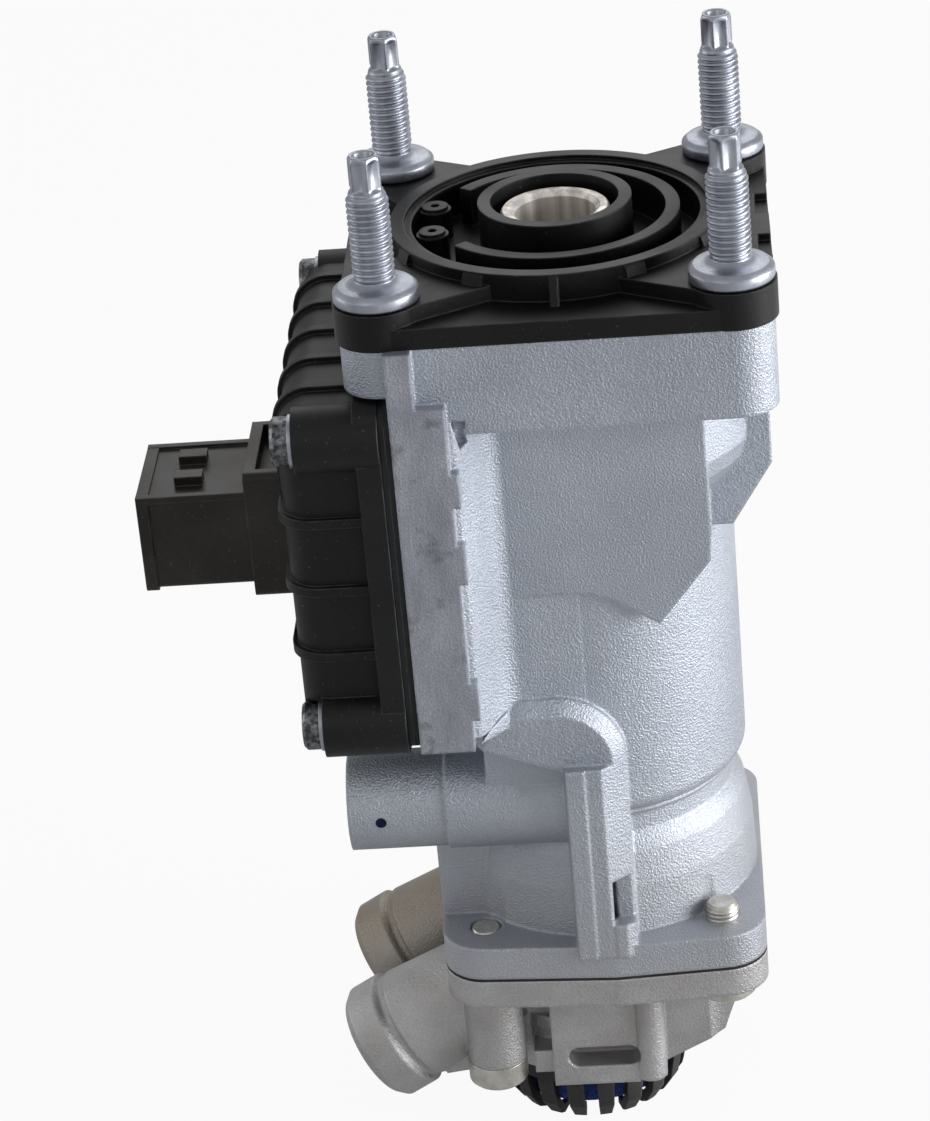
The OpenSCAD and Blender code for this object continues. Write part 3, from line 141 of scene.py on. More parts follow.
class Texture:
    """A material under construction, with the patterns that the finishes share."""

    def __init__(self, name: str, edge: Edge) -> None:
        """Starts an empty principled material.

        Args:
            name: the material's name.
            edge: how round its edges are.
        """
        self.material = bpy.data.materials.new(name)
        self.material.use_nodes = True
        self.tree = self.material.node_tree
        self.tree.nodes.clear()
        self.shader = add_node(self.tree, "BsdfPrincipled")
        add_node(self.tree, "OutputMaterial", {"Surface": self.shader.outputs["BSDF"]})
        self.place = add_node(self.tree, "TexCoord").outputs["Object"]
        self.soft = add_node(self.tree, "Bevel", {"Radius": edge.value * MM}, samples=4)
        self.true = add_node(self.tree, "NewGeometry")

    def add(
        self, kind: str, links: Optional[Dict[Any, Any]] = None, **settings: Any
    ) -> bpy.types.Node:
        """Adds a node to this material's tree."""
        return add_node(self.tree, kind, links, **settings)

    def patches(
        self,
        size_mm: float,
        low: float = 0.35,
        high: float = 0.65,
        detail: float = 2.0,
        stretch: Point = (1, 1, 1),
    ) -> bpy.types.NodeSocket:
        """Uneven patches of a real size, from 0 to 1.

        Args:
            size_mm: width of a patch.
            low: the noise value that counts as 0.
            high: the noise value that counts as 1.
            detail: how much finer structure the patches carry.
            stretch: how many times longer a patch is along each axis.

        Returns:
            The socket that holds the value.
        """
        at = self.place
        if stretch != (1, 1, 1):
            squeeze = tuple(1 / s for s in stretch)
            at = self.add("Mapping", {"Vector": at, "Scale": squeeze}).outputs[0]
        noise = self.add("TexNoise", {"Vector": at, "Scale": per_metre(size_mm), "Detail": detail})
        return self.add(
            "MapRange", {"Value": noise.outputs[0], "From Min": low, "From Max": high}
        ).outputs[0]

    def layer(self, under: Any, over: Any, where: Any, most: float = 1.0) -> bpy.types.NodeSocket:
        """Lays one colour over another where a pattern says.

        Args:
            under: the colour below, as a hex code or a socket.
            over: the colour on top, as a hex code or a socket.
            where: the pattern, from 0 to 1.
            most: how much the upper colour covers where the pattern is 1.

        Returns:
            The new colour's socket.
        """
        under, over = (linear(c) if isinstance(c, str) else c for c in (under, over))
        share = self.add("Math", {0: where, 1: most}, operation="MULTIPLY").outputs[0]
        return self.add("Mix", {0: share, 6: under, 7: over}, data_type="RGBA").outputs[2]

    def worn_edges(self, low: float = 0.02, high: float = 0.2) -> bpy.types.NodeSocket:
        """Finds edges, where the rounded normal leaves the true one.

        Args:
            low: the turn that counts as no edge.
            high: the turn that counts as a full edge.

        Returns:
            A socket that is 1 on edges and 0 on flats.
        """
        dot = self.add(
            "VectorMath",
            {0: self.soft.outputs[0], 1: self.true.outputs["Normal"]},
            operation="DOT_PRODUCT",
        )
        # The dot product falls from 1 as the two normals part
        ends = {"Value": dot.outputs["Value"], "From Min": 1 - low, "From Max": 1 - high}
        return self.add("MapRange", ends).outputs[0]

    def along(self, axis: int, none_mm: float, full_mm: float) -> bpy.types.NodeSocket:
        """Rises from 0 to 1 between two levels along an axis.

        Args:
            axis: 0, 1 or 2.
            none_mm: the level where it is 0.
            full_mm: the level where it is 1.

        Returns:
            The pattern's socket.
        """
        level = self.add("SeparateXYZ", {0: self.place}).outputs[axis]
        ends = {"Value": level, "From Min": none_mm * MM, "From Max": full_mm * MM}
        return self.add("MapRange", ends).outputs[0]

    def outside(self, axis: int, level_mm: float) -> bpy.types.NodeSocket:
        """Marks as 1 what lies further out along an axis than a level, on either side.

        Args:
            axis: 0, 1 or 2.
            level_mm: how far from the middle the mark starts.

        Returns:
            The mark's socket.
        """
        level = self.add("SeparateXYZ", {0: self.place}).outputs[axis]
        away = self.add("Math", {0: level}, operation="ABSOLUTE").outputs[0]
        return self.add("Math", {0: away, 1: level_mm * MM}, operation="GREATER_THAN").outputs[0]

    def near(self, point_mm: Point, radius_mm: float) -> bpy.types.NodeSocket:
        """Marks a round spot about a point as 1, with a soft rim.

        Args:
            point_mm: the spot's middle.
            radius_mm: its radius.

        Returns:
            The mark's socket.
        """
        at = tuple(v * MM for v in point_mm)
        away = self.add("VectorMath", {0: self.place, 1: at}, operation="DISTANCE").outputs["Value"]
        outer, inner = radius_mm * MM * 1.08, radius_mm * MM * 0.92
        return self.add(
            "MapRange", {"Value": away, "From Min": outer, "From Max": inner}
        ).outputs[0]

    def roughen(self, pattern: bpy.types.NodeSocket, at_zero: float, at_one: float) -> None:
        """Lets a pattern set the roughness.

        Args:
            pattern: the pattern, from 0 to 1.
            at_zero: the roughness where it is 0.
            at_one: the roughness where it is 1.
        """
        ends = {"Value": pattern, "To Min": at_zero, "To Max": at_one}
        self.link(self.add("MapRange", ends).outputs[0], "Roughness")

    def relief(self, height: bpy.types.NodeSocket, depth_mm: float, strength: Any = 1.0) -> None:
        """Lays a bump of a real depth on the rounded normal.

        Args:
            height: the pattern, from 0 to 1.
            depth_mm: its depth.
            strength: how much of it is used, as a value or a socket.
        """
        bump = self.add(
            "Bump",
            {
                "Height": height,
                "Distance": depth_mm * MM,
                "Strength": strength,
                "Normal": self.soft.outputs[0],
            },
        )
        self.link(bump.outputs[0], "Normal")

    def link(self, value: Any, name: str) -> None:
        """Sets a shader input, or links it where the value is a socket.

        Args:
            value: a plain value or a socket.
            name: the input's name.
        """
        if isinstance(value, bpy.types.NodeSocket):
            self.tree.links.new(value, self.shader.inputs[name])
        else:
            self.shader.inputs[name].default_value = value


@dataclass(frozen=True)
class DieCastAluminium:
    """Die-cast aluminium, blasted with grit: pale skin with a fine sandy grain.

    The grit leaves pits of about half a millimetre. They turn the light a little each way,
    so the eye sees a soft sparkle where a face leans towards the lamp, and no mirror.
    Where milled_y is given, the skin beyond it is milled off at the front and at the back.
    """

    name: str
    skin: str
    shade: str
    rim: str
    pit: str = "7c8089"
    grain_mm: float = 0.52
    grain_depth: float = 0.11
    patch_mm: float = 34.0
    roughness: float = 0.46
    milled_y: float = 0.0
    # Painted shade for the body below the pad, darker and less blue
    lower_painted_shade: str = "b2b3b7"
    rear_brown: Optional[str] = None
    paint_dot: Optional[Point] = None
    dot_r: float = 1.4
    paint: str = "141a3c"

    def build(self) -> bpy.types.Material:
        """Builds the material.

        Returns:
            The material, ready for a mesh.
        """
        t = Texture(self.name, Edge.CAST)
        cloud = t.patches(self.patch_mm, 0.32, 0.68, 3.0)
        grain = t.patches(self.grain_mm, 0.36, 0.64, 3.0)
        colour = t.layer(self.shade, self.skin, cloud)
        colour = t.layer(colour, self.pit, grain, 0.3)
        colour = t.layer(colour, self.rim, t.worn_edges(), 0.45)
        if self.rear_brown:
            # The colour turns darker and browner towards the rear ports
            colour = t.layer(colour, self.rear_brown, t.along(1, -8.0, 12.0), 0.75)
        strength: Any = 1.0
        if self.milled_y:
            # Painted shade: below the pad the colour turns a little darker and less blue, where the
            # light is dimmer and less blue
            colour = t.layer(colour, self.lower_painted_shade, t.along(2, -130.0, -180.0), 0.6)
            milled = t.outside(1, self.milled_y)
            colour = t.layer(colour, self.milled_plate(t, grain), milled)
            # The cutter takes off some of the grain's depth
            ends = {"Value": milled, "To Min": 1.0, "To Max": 0.6}
            strength = t.add("MapRange", ends).outputs[0]
        if self.paint_dot:
            colour = t.layer(colour, self.paint, t.near(self.paint_dot, self.dot_r))
        t.link(colour, "Base Color")
        t.link(0.8, "Metallic")
        t.roughen(grain, self.roughness + 0.05, self.roughness - 0.05)
        t.relief(grain, self.grain_depth, strength)
        return t.material

    @staticmethod
    def milled_plate(t: Texture, grain: bpy.types.NodeSocket) -> bpy.types.NodeSocket:
        """Colours the milled plate: faint cutter lines along it, stains and dark smudges.

        Args:
            t: the material under construction.
            grain: the cast grain, which still shows a little.

        Returns:
            The plate's colour.
        """
        cutter = t.patches(0.5, 0.3, 0.7, 2.0, (1, 1, 14))
        stain = t.patches(9.0, 0.38, 0.66, 4.0, (1, 1, 1.8))
        smudge = t.patches(7.0, 0.6, 0.7, 5.0)
        plate = t.layer("c2c5cf", "a2a5b0", stain)
        plate = t.layer(plate, "73757e", cutter, 0.25)
        plate = t.layer(plate, "8c8f99", grain, 0.55)
        return t.layer(plate, "5c5e6c", smudge, 0.5)


@dataclass(frozen=True)
class GlassFilledPolyamide:
    """Black glass-filled polyamide, moulded: satin skin, dusty, with paler rubbed edges."""

    name: str
    skin: str
    rubbed: str
    dust: str = "2c2d30"
    dusty: float = 0.3
    roughness: float = 0.46

    def build(self) -> bpy.types.Material:
        """Builds the material.

        Returns:
            The material, ready for a mesh.
        """
        t = Texture(self.name, Edge.MOULDED)
        haze = t.patches(22.0, 0.42, 0.75, 4.0)
        mottle = t.patches(1.1, 0.35, 0.7, 2.0)
        colour = t.layer(self.skin, self.dust, haze, self.dusty)
        # Handling rubs the edges in some places and not in others
        rubs = {0: t.worn_edges(0.012, 0.14), 1: t.patches(5.0, 0.3, 0.6)}
        wear = t.add("Math", rubs, operation="MULTIPLY").outputs[0]
        colour = t.layer(colour, self.rubbed, wear, 0.8)
        # Dust and scuffs lie on the skin as pale specks
        colour = t.layer(colour, self.rubbed, t.patches(0.9, 0.66, 0.74, 3.0), 0.45)
        t.link(colour, "Base Color")
        t.roughen(haze, self.roughness, self.roughness + 0.14)
        t.link(1.5, "IOR")
        t.link(0.3, "Specular IOR Level")
        t.relief(mottle, 0.03, 0.4)
        return t.material


@dataclass(frozen=True)
class ZincPlate:
    """Zinc plating on steel: grey, slightly cloudy metal with brighter handled edges."""

    name: str
    skin: str
    shade: str
    rim: str = "e4e7ea"
    roughness: float = 0.34
    cloud_mm: float = 3.0
    tarnish: float = 0.0
    bare_steel: str = "1f2022"

    def build(self) -> bpy.types.Material:
        """Builds the material.

        Returns:
            The material, ready for a mesh.
        """
        t = Texture(self.name, Edge.TURNED)
        cloud = t.patches(self.cloud_mm, 0.35, 0.65, 3.0)
        grain = t.patches(0.5, 0.3, 0.7, 1.0)
        colour = t.layer(self.shade, self.skin, cloud)
        if self.tarnish:
            # Handled screws lose their plating in blots and show the dark steel
            blots = t.patches(1.5, 0.44, 0.58, 4.0)
            colour = t.layer(colour, self.bare_steel, blots, self.tarnish)
        colour = t.layer(colour, self.rim, t.worn_edges(), 0.7)
        t.link(colour, "Base Color")
        t.link(1.0, "Metallic")
        t.roughen(grain, self.roughness - 0.08, self.roughness + 0.1)
        t.relief(grain, 0.012, 0.3)
        return t.material


@dataclass(frozen=True)
class TurnedMetal:
    """Metal from the lathe: fine rings about Z catch the light in bright bands.

    A reamed bore also has faint lines along it, which show as upright streaks.
    """

    name: str
    skin: str
    shade: str
    feed_mm: float = 0.35
    roughness: float = 0.2
    reamed: bool = False
    streak: str = "7a7571"

    def build(self) -> bpy.types.Material:
        """Builds the material.

        Returns:
            The material, ready for a mesh.
        """
        t = Texture(self.name, Edge.TURNED)
        rings = t.patches(self.feed_mm, 0.3, 0.7, 1.0, (60, 60, 1))
        tint = t.patches(9.0, 0.35, 0.65)
        colour = t.layer(self.shade, self.skin, tint)
        if self.reamed:
            streaks = t.patches(3.2, 0.4, 0.6, 3.0, (1, 1, 30))
            colour = t.layer(colour, self.streak, streaks, 0.5)
        t.link(colour, "Base Color")
        t.link(1.0, "Metallic")
        t.link(self.roughness, "Roughness")
        t.relief(rings, 0.012, 0.5)
        return t.material


@dataclass(frozen=True)
class MouldedRubber:
    """Nitrile rubber: matt and nearly black, with a dusty bloom."""

    name: str
    skin: str = "141516"
    bloom: str = "34363a"

    def build(self) -> bpy.types.Material:
        """Builds the material.

        Returns:
            The material, ready for a mesh.
        """
        t = Texture(self.name, Edge.TURNED)
        dust = t.patches(4.0, 0.4, 0.75, 4.0)
        pores = t.patches(0.4, 0.3, 0.7)
        t.link(t.layer(self.skin, self.bloom, dust, 0.5), "Base Color")
        t.link(0.78, "Roughness")
        t.relief(pores, 0.03, 0.5)
        return t.material


@dataclass(frozen=True)
class FilterFelt:
    """Pressed felt of dyed fibre: the fibres stand out as a soft blue fuzz."""

    name: str
    skin: str
    shade: str

    def build(self) -> bpy.types.Material:
        """Builds the material.

        Returns:
            The material, ready for a mesh.
        """
        t = Texture(self.name, Edge.MOULDED)
        fibres = t.patches(0.9, 0.35, 0.65, 4.0, (1, 1, 0.4))
        t.link(t.layer(self.shade, self.skin, fibres), "Base Color")
        t.link(0.9, "Roughness")
        t.link(0.3, "Sheen Weight")
        t.relief(fibres, 0.4, 0.8)
        return t.material


@dataclass(frozen=True)
class PlainMoulding:
    """A small moulded or coated piece: one colour with a faint mottle and satin gloss."""

    name: str
    skin: str
    shade: str
    roughness: float = 0.38

    def build(self) -> bpy.types.Material:
        """Builds the material.

        Returns:
            The material, ready for a mesh.
        """
        t = Texture(self.name, Edge.TURNED)
        mottle = t.patches(2.2, 0.35, 0.65)
        t.link(t.layer(self.shade, self.skin, mottle), "Base Color")
        t.link(self.roughness, "Roughness")
        t.relief(mottle, 0.02, 0.3)
        return t.material


class Finishes:
    """The finish of each material slot of the record, and of the nodes that differ from it."""

    def __init__(self) -> None:
        """Builds every material once."""
        makers: Dict[str, Any] = {
            "cast_aluminium": DieCastAluminium(
                "die_cast_housing", "bec4ce", "aeb4bf", "e2e6ea",
                milled_y=53.97, paint_dot=(-52.8, -41.3, -144.0),
            ),
            "lower_cast_aluminium": DieCastAluminium(
                "die_cast_port_housing", "c3c4c6", "aeabaa", "dcdcdc",
                pit="82807f", patch_mm=16.0, grain_depth=0.08, rear_brown="8f8372",
            ),
            "black_polyamide": GlassFilledPolyamide("moulded_black_polyamide", "0b0c0d", "66686c"),
            "carrier_polyamide": GlassFilledPolyamide("moulded_seal_carrier", "191b1e", "4d5054"),
            # The connector's brown dust is partly real dust and partly a painted reflection, the
            # brown that its top shows
            "connector_polyamide": GlassFilledPolyamide(
                "moulded_connector", "2a2725", "7a736b", dust="504a43", dusty=0.6, roughness=0.38
            ),
            "zinc_plated_steel": ZincPlate(
                "clear_zinc_on_steel", "adb1bb", "989ca6", roughness=0.4, cloud_mm=6.0
            ),
            "turned_steel": TurnedMetal(
                "turned_bush_steel", "fbf6f1", "e8e2dc", roughness=0.58, reamed=True
            ),
            "plunger_aluminium": TurnedMetal("anodised_piston_aluminium", "b9ae8a", "9f9473"),
            "spring_steel": ZincPlate("drawn_spring_wire", "85898e", "5d6166", roughness=0.3),
            "seal_rubber": MouldedRubber("moulded_seal_rubber"),
            "valve_rubber": MouldedRubber("moulded_valve_rubber", "1d1f24", "3d4046"),
            "brass": TurnedMetal("turned_brass", "c3a35a", "a2843f", roughness=0.26),
            "circuit_board": PlainMoulding("solder_mask", "1f6a43", "14492f", 0.3),
            "coil_copper": PlainMoulding("enamelled_copper_wire", "b8702e", "8b4d1b", 0.3),
            "sledge_plastic": PlainMoulding("moulded_sledge_acetal", "e9e5da", "d9d4c6"),
            "blue_filter": FilterFelt("pressed_filter_felt", "2c5cc8", "16388a"),
        }
        self.by_slot = {slot: maker.build() for slot, maker in makers.items()}
        self.yellow_zinc = ZincPlate(
            "yellow_zinc_bolts", "d6d4cd", "b6b3ab", rim="e6e4dc", cloud_mm=5.0
        ).build()
        handled_zinc = ZincPlate(
            "handled_zinc_screws", "85878a", "55575a", rim="c4c6c8", cloud_mm=1.6, tarnish=0.7
        ).build()
        matt_black = GlassFilledPolyamide(
            "moulded_adapter", "030304", "4c4e52", dust="131416", roughness=0.4
        ).build()
        dusty_black = GlassFilledPolyamide(
            "moulded_silencer_cage", "2b2a2b", "77777a", dust="4a4645", dusty=0.6
        ).build()
        self.by_node = {
            "cover_screws": handled_zinc,
            "mounting_adapter": matt_black,
            "silencer_cage": dusty_black,
            "long_bolts": self.yellow_zinc,
            "short_bolt": self.yellow_zinc,
        }

    def dress(self, frame: Dict[str, Any]) -> None:
        """Gives each node of the frame its own material, or else that of its slot.
        """
        for part in frame["record"]["subparts"]:
            name = part["node"]
            material = self.by_node.get(name, self.by_slot[part["material_slot"]])
            self.paint(frame["nodes"][name], material)
            log.info("%s takes %s", name, material.name)

    @staticmethod
    def paint(obj: bpy.types.Object, material: bpy.types.Material) -> None:
        """Replaces every material slot of an object with one material.

        Args:
            obj: the object, whose children are painted too.
            material: the material.
        """
        for child in [obj, *obj.children_recursive]:
            if child.type == "MESH":
                child.data.materials.clear()
                child.data.materials.append(material)


@dataclass
class Station:
    """One ring of a turned piece: its radius and level, and what is cut into it there."""

    r: float
    z: float
    thread: float = 0.0
    lobes: float = 0.0


def turned_mesh(
    name: str, stations: Sequence[Station], steps: int, pitch: float, sharp: Sequence[int] = ()
) -> bpy.types.Mesh:
    """Makes a turned piece about Z whose rings may carry a thread or drive lobes.

    Args:
        name: the mesh's name.
        stations: rings from one end to the other, in millimetres.
        steps: points round each ring.
        pitch: thread pitch in millimetres.
        sharp: numbers of the rings that stay hard edges.

    Returns:
        A mesh in metres, open at its end rings. A ring of 0.01 mm is as good as closed.
    """
    points: List[Point] = []
    for s in stations:
        for i in range(steps):
            a = math.tau * i / steps
            r = s.r
            if s.thread:
                # Rolled thread: broad rounded crests and narrow roots
                wave = abs(math.sin(math.pi * (s.z / pitch - i / steps)))
                r += s.thread * (2 * wave**0.75 - 1)
            if s.lobes:
                # Wide hollow flutes between narrow lobes
                r += s.lobes * (1 - 2 * abs(math.cos(3 * a)) ** 0.8)
            points.append((r * math.cos(a) * MM, r * math.sin(a) * MM, s.z * MM))
    faces = []
    for low in range(0, (len(stations) - 1) * steps, steps):
        high = low + steps
        for i in range(steps):
            n = (i + 1) % steps
            faces.append((low + i, low + n, high + n, high + i))
    mesh = bpy.data.meshes.new(name)
    mesh.from_pydata(points, [], faces)
    mesh.validate()
    mesh.shade_smooth()
    for edge in mesh.edges:
        a, b = edge.vertices
        if a // steps == b // steps and a // steps in sharp:
            edge.use_edge_sharp = True
    return mesh


@dataclass
class ThreadedStuds:
    """The four mounting studs, with rolled threads and lobed drives, in millimetres."""

    square: float = 82.0
    grip: float = 23.0
    grip_r: float = 6.0
    collar_t: float = 4.0
    collar_r: float = 10.1
    thread_r: float = 5.0
    thread_pitch: float = 1.5
    thread_half: float = 0.42
    neck: float = 1.7
    height: float = 31.7
    drive_h: float = 8.5
    drive_r: float = 4.0
    steps: int = 72

    def stations(self) -> List[Station]:
        """Lists the rings of one stud.

        Returns:
            The rings, from its lower end to the bottom of its hollow tip.
        """
        foot, under, rim, wall = -self.grip, -self.collar_t, self.collar_r, self.thread_r
        base = self.height - self.drive_h
        shank = self.grip_r
        rings = [Station(0.01, foot), Station(shank - 1, foot)]
        rings += [Station(shank, foot + 1), Station(shank, under)]
        # Collar with a rounded rim, then a fillet up to the neck
        for r, up in (
            (rim - 0.9, 0), (rim - 0.25, 0.22), (rim, 0.8), (rim, 2.6), (rim - 0.15, 3.0),
            (rim - 1.2, 3.9), (rim - 1.5, 4.02), (wall + 2.2, 4.12),
        ):
            rings.append(Station(r, under + up))
        for r, z in ((wall + 1.1, 0.4), (wall + 0.4, 0.85), (wall - 0.1, 1.3)):
            rings.append(Station(r, z))
        rings.append(Station(wall - 0.45, self.neck))
        rings += self.thread(base - 0.5)
        # Lobed drive, whose flutes run out at both ends
        rings += [Station(self.drive_r + 0.05, base - 0.2), Station(self.drive_r - 0.2, base)]
        for up, r, lobes in (
            (0.35, 3.45, 0.3), (0.8, 3.35, 0.6), (6.4, 3.3, 0.62),
            (7.1, 3.45, 0.45), (7.55, 3.6, 0.25), (8.1, 3.4, 0.08),
        ):
            rings.append(Station(r, base + up, lobes=lobes))
        # Rim of the tip and its centre hole
        for r, down in ((3.2, 0.02), (2.75, 0), (2.35, 0.35), (2.2, 2.9), (0.01, 3.6)):
            rings.append(Station(r, self.height - down))
        return rings

    def thread(self, top: float) -> List[Station]:
        """Lists the rings of the thread, twelve to a turn, shallower towards both ends.

        Args:
            top: the level where it ends.

        Returns:
            The rings, from the neck up.
        """
        rings = []
        count = int((top - self.neck) / self.thread_pitch * 12)
        for i in range(count + 1):
            z = self.neck + (top - self.neck) * i / count
            fade = min(1.0, (z - self.neck) / 1.2, (top - z) / 1.6)
            narrower = 0.5 * max(0.0, 1 - (top - z) / 1.8)
            middle = self.thread_r - self.thread_half - narrower
            rings.append(Station(middle, z, thread=self.thread_half * max(0.25, fade)))
        return rings

    def build(self, material: bpy.types.Material) -> bpy.types.Object:
        """Builds the studs as one object in place of their plain solids.

        Args:
            material: the studs' finish.

        Returns:
            The object.
        """
        under_collar = (3, 4)
        one = turned_mesh("stud", self.stations(), self.steps, self.thread_pitch, under_collar)
        points: List[Point] = []
        faces: List[Tuple[int, ...]] = []
        half = self.square / 2 * MM
        for sx, sy in ((-1, -1), (-1, 1), (1, -1), (1, 1)):
            # Each stud is screwed in to an angle of its own
            turn = Matrix.Rotation(math.radians(17 * sx + 29 * sy), 4, "Z")
            put = Matrix.Translation((sx * half, sy * half, 0)) @ turn
            start = len(points)
            points += [tuple(put @ v.co) for v in one.vertices]
            faces += [tuple(start + i for i in p.vertices) for p in one.polygons]
        mesh = bpy.data.meshes.new("threaded_studs")
        mesh.from_pydata(points, [], faces)
        mesh.shade_smooth()
        mesh.materials.append(material)
        studs = bpy.data.objects.new("threaded_studs", mesh)
        bpy.context.scene.collection.objects.link(studs)
        bpy.data.meshes.remove(one)
        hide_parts("mounting_studs")
        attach(studs, ROOT)
        return studs


@dataclass
class BoltEndThread:
    """The thread on the bolt's end that stands up from the front of the flange, in millimetres."""

    wall_r: float = 4.0
    proud: float = 0.32
    pitch: float = 1.25
    chamfer: float = 0.7
    length: float = 3.7
    steps: int = 48

    def build(self, material: bpy.types.Material) -> bpy.types.Object:
        """Builds the thread round the short bolt's upper end.

        Args:
            material: the bolt's finish.

        Returns:
            The object.
        """
        low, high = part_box("short_bolt")
        top = high[2] / MM - self.chamfer
        count = int(self.length / self.pitch * 10)
        rings = []
        for i in range(count, -1, -1):
            half = self.proud / 2 * min(1.0, i / 6)
            z = top - self.length + self.length * (count - i) / count
            rings.append(Station(self.wall_r - 0.04 + half, z, thread=half))
        mesh = turned_mesh("bolt_end_thread", rings, self.steps, self.pitch)
        mesh.transform(Matrix.Translation(((low[0] + high[0]) / 2, (low[1] + high[1]) / 2, 0)))
        mesh.materials.append(material)
        obj = bpy.data.objects.new("bolt_end_thread", mesh)
        bpy.context.scene.collection.objects.link(obj)
        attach(obj, ROOT)
        return obj


@dataclass(frozen=True)
class CoilSpring:
    """A coil spring, with its joint and the millimetres by which its ends go down."""

    node: str
    joint: str
    top_travel: float
    foot_travel: float = 0.0

    def build(self, solid: bpy.types.Object, material: bpy.types.Material) -> bpy.types.Object:
        """Builds the spring from a copy of its solid's mesh.

        Args:
            solid: the spring's CAD object.
            material: the wire's finish.

        Returns:
            The object.
        """
        mesh = solid.data.copy()
        mesh.shade_smooth()
        mesh.materials.clear()
        mesh.materials.append(material)
        obj = bpy.data.objects.new(f"{self.node}_wire", mesh)
        obj.matrix_world = solid.matrix_world
        bpy.context.scene.collection.objects.link(obj)
        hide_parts(self.node)
        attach(obj, ROOT)
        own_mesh(obj)
        return obj


SPRINGS = (
    CoilSpring("graduating_spring", "plunger_slide", 14.0, 5.0),
    CoilSpring("plunger_return_spring", "plunger_slide", 14.0, 5.0),
    CoilSpring("reaction_return_spring", "reaction_slide", 5.0),
    CoilSpring("upper_valve_spring", "upper_valve_slide", 3.5),
    CoilSpring("relay_return_spring", "relay_slide", 4.0),
    CoilSpring("lower_valve_spring", "lower_valve_slide", 2.8),
)


@dataclass
class PortThreads:
    """The tapped threads inside the four air ports, in millimetres."""

    wall_r: float = 10.2
    depth: float = 13.6
    pitch: float = 1.5
    reach: float = 62.0
    spacing: float = 41.0
    level: float = -223.0
    tilt: float = 31.0
    thread_in: float = 0.42
    thread_half: float = 0.36
    steps: int = 64

    def build(self, material: bpy.types.Material) -> List[bpy.types.Object]:
        """Builds one thread in each port mouth.

        Args:
            material: the finish of the cut thread.

        Returns:
            The four objects.
        """
        count = int(self.depth / self.pitch * 10)
        rings = []
        for i in range(count, -1, -1):
            z = -0.6 - self.depth * i / count
            fade = min(1.0, i / 8, (count - i) / 8)
            middle = self.wall_r - 0.06 - self.thread_in * fade
            rings.append(Station(middle, z, thread=self.thread_half * fade))
        made = []
        for turn, place in ((0, "left"), (-90, "back")):
            for side in (-1, 1):
                mesh = turned_mesh(f"port_thread_{place}", rings, self.steps, self.pitch)
                mesh.flip_normals()
                mouth = Vector((-self.reach, side * self.spacing / 2, self.level)) * MM
                put = (
                    Matrix.Rotation(math.radians(turn), 4, "Z")
                    @ Matrix.Translation(mouth)
                    @ Matrix.Rotation(math.radians(-90 - self.tilt), 4, "Y")
                )
                mesh.transform(put)
                mesh.materials.append(material)
                name = f"port_thread_{place}_{'a' if side < 0 else 'b'}"
                obj = bpy.data.objects.new(name, mesh)
                bpy.context.scene.collection.objects.link(obj)
                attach(obj, ROOT)
                made.append(obj)
        return made


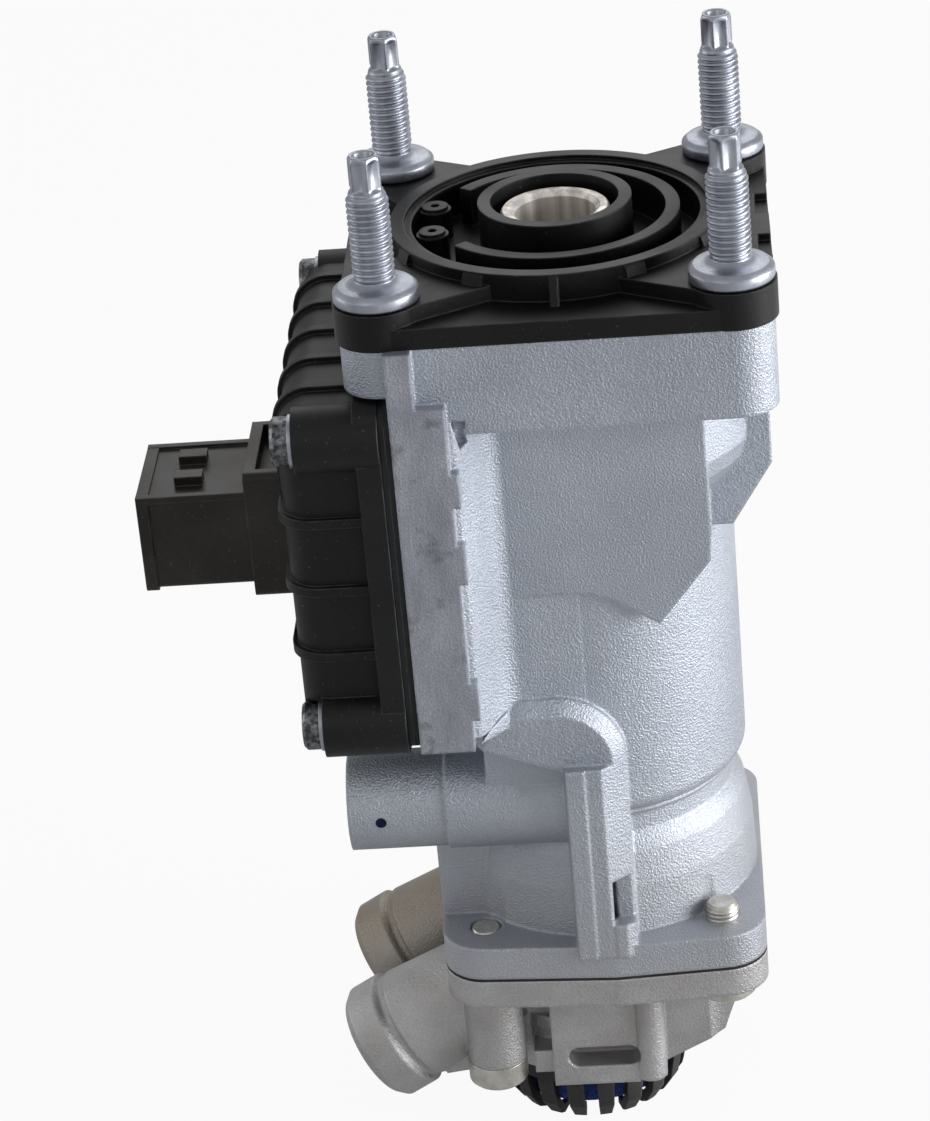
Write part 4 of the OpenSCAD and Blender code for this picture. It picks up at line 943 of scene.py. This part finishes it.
@dataclass
class Studio:
    """Plain pale floor and backdrop, soft lamps and the camera, in metres unless named."""

    floor_z: float = -0.2480
    floor_half: float = 6.0
    eye: Point = (0.0358, -0.8603, 0.3407)
    azimuth: float = 4.323
    elevation: float = 26.715
    roll: float = 5.239
    lens_mm: float = 123.7
    sensor_mm: float = 36.0
    paper_seen: float = 0.94
    paper_mirrored: float = 0.22
    card_mirrored: float = 0.95
    card_from: float = 0.08
    card_full: float = 0.34
    surround_mirrored: float = 0.5
    surround: float = 0.2
    lit_point: Point = (0, 0, -0.1)

    def build(self) -> None:
        """Builds the whole studio."""
        self.lay_floor()
        self.light()
        self.aim()

    @staticmethod
    def by_ray(
        tree: bpy.types.NodeTree, seen: float, mirrored: Any, other: float
    ) -> bpy.types.NodeSocket:
        """Gives one value to camera rays, one to reflected or refracted rays and one to the rest.

        Args:
            tree: the floor's or the world's node tree.
            seen: the value for what the camera sees.
            mirrored: the value or socket for what metal and glass show.
            other: the value for light that falls on the object.

        Returns:
            The value's socket.
        """
        path = add_node(tree, "LightPath").outputs
        bounced = {0: path["Is Glossy Ray"], 1: path["Is Transmission Ray"]}
        glossy = add_node(tree, "Math", bounced, operation="MAXIMUM")
        first = add_node(
            tree, "MapRange", {"Value": glossy.outputs[0], "To Min": other, "To Max": mirrored}
        )
        last = add_node(
            tree,
            "MapRange",
            {"Value": path["Is Camera Ray"], "To Min": first.outputs[0], "To Max": seen},
        )
        return last.outputs[0]

    def lay_floor(self) -> None:
        """Lays a pale floor that keeps the valve's shadow."""
        mesh = bpy.data.meshes.new("studio_floor")
        half = self.floor_half
        corners = ((-half, -half), (half, -half), (half, half), (-half, half))
        mesh.from_pydata([(x, y, self.floor_z) for x, y in corners], [], [(0, 1, 2, 3)])
        material = bpy.data.materials.new("pale_studio_paper")
        material.use_nodes = True
        tree = material.node_tree
        tree.nodes.clear()
        paper = add_node(
            tree, "BsdfPrincipled", {"Base Color": linear("c4c4c4"), "Roughness": 0.8}
        )
        lamp = add_node(tree, "Emission", {"Color": linear("ffffff"), "Strength": 1.0})
        # A white card lies to the right, and the cast sides that lean that way mirror it
        across = add_node(
            tree, "SeparateXYZ", {0: add_node(tree, "TexCoord").outputs["Object"]}
        ).outputs[0]
        card = add_node(
            tree,
            "MapRange",
            {
                "Value": across, "From Min": self.card_from, "From Max": self.card_full,
                "To Min": self.paper_mirrored, "To Max": self.card_mirrored,
            },
        )
        share = self.by_ray(tree, self.paper_seen, card.outputs[0], 0.0)
        mix = add_node(tree, "MixShader", {0: share, 1: paper.outputs[0], 2: lamp.outputs[0]})
        add_node(tree, "OutputMaterial", {"Surface": mix.outputs[0]})
        mesh.materials.append(material)
        floor = bpy.data.objects.new("studio_floor", mesh)
        bpy.context.scene.collection.objects.link(floor)

    def light(self) -> None:
        """Sets a white surround for the camera, a softer one for light, and four lamps."""
        world = bpy.data.worlds.new("studio")
        bpy.context.scene.world = world
        world.use_nodes = True
        tree = world.node_tree
        tree.nodes.clear()
        level = self.by_ray(tree, 1.0, self.surround_mirrored, self.surround)
        sky = add_node(tree, "Background", {"Color": linear("ffffff"), "Strength": level})
        add_node(tree, "OutputWorld", {"Surface": sky.outputs[0]})
        # Each lamp has a place and a side in metres, and a power in watts
        for name, spot, size, power in (
            ("key_softbox", (1.05, -0.22, 0.05), 0.8, 17.4),
            ("fill_softbox", (-0.6, -1.0, 0.6), 0.8, 1.3),
            ("back_softbox", (0.1, 1.0, 0.7), 1.0, 3.8),
            ("left_softbox", (-1.0, 0.1, 0.1), 0.6, 1.6),
        ):
            lamp = bpy.data.lights.new(name, "AREA")
            lamp.shape = "SQUARE"
            lamp.size = size
            lamp.energy = power
            obj = bpy.data.objects.new(name, lamp)
            obj.visible_camera = False
            obj.location = spot
            aim = Vector(self.lit_point) - Vector(spot)
            obj.rotation_euler = aim.to_track_quat("-Z", "Y").to_euler()
            bpy.context.scene.collection.objects.link(obj)

    def aim(self) -> None:
        """Stands the camera where the photograph was taken from."""
        a, e, roll = (math.radians(v) for v in (self.azimuth, self.elevation, self.roll))
        back = Vector((math.sin(a) * math.cos(e), -math.cos(a) * math.cos(e), math.sin(e)))
        right = Vector((math.cos(a), math.sin(a), 0))
        up = back.cross(right)
        c, s = math.cos(roll), math.sin(roll)
        right, up = c * right - s * up, s * right + c * up
        lens = bpy.data.cameras.new("photo_camera")
        lens.lens = self.lens_mm
        lens.sensor_width = self.sensor_mm
        lens.clip_start, lens.clip_end = 0.01, 50
        camera = bpy.data.objects.new("photo_camera", lens)
        axes = Matrix((right, up, back)).transposed().to_4x4()
        camera.matrix_world = Matrix.Translation(self.eye) @ axes
        bpy.context.scene.collection.objects.link(camera)
        bpy.context.scene.camera = camera


def main() -> None:
    """Builds the studio, dresses the solids and adds the detailed pieces."""
    logging.basicConfig(level=logging.INFO, format="%(message)s")
    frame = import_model()
    bpy.context.scene.view_settings.view_transform = "Standard"
    Studio().build()
    finishes = Finishes()
    finishes.dress(frame)
    studs = ThreadedStuds().build(finishes.by_slot["zinc_plated_steel"])
    log.info("%s stands for the plain studs", studs.name)
    log.info("%s is cut", BoltEndThread().build(finishes.yellow_zinc).name)
    for thread in PortThreads().build(finishes.by_slot["lower_cast_aluminium"]):
        log.info("%s is cut", thread.name)
    for spring in SPRINGS:
        wire = spring.build(frame["nodes"][spring.node], finishes.by_slot["spring_steel"])
        log.info("%s shortens with %s", wire.name, spring.joint)


if __name__ == "__main__":
    main()
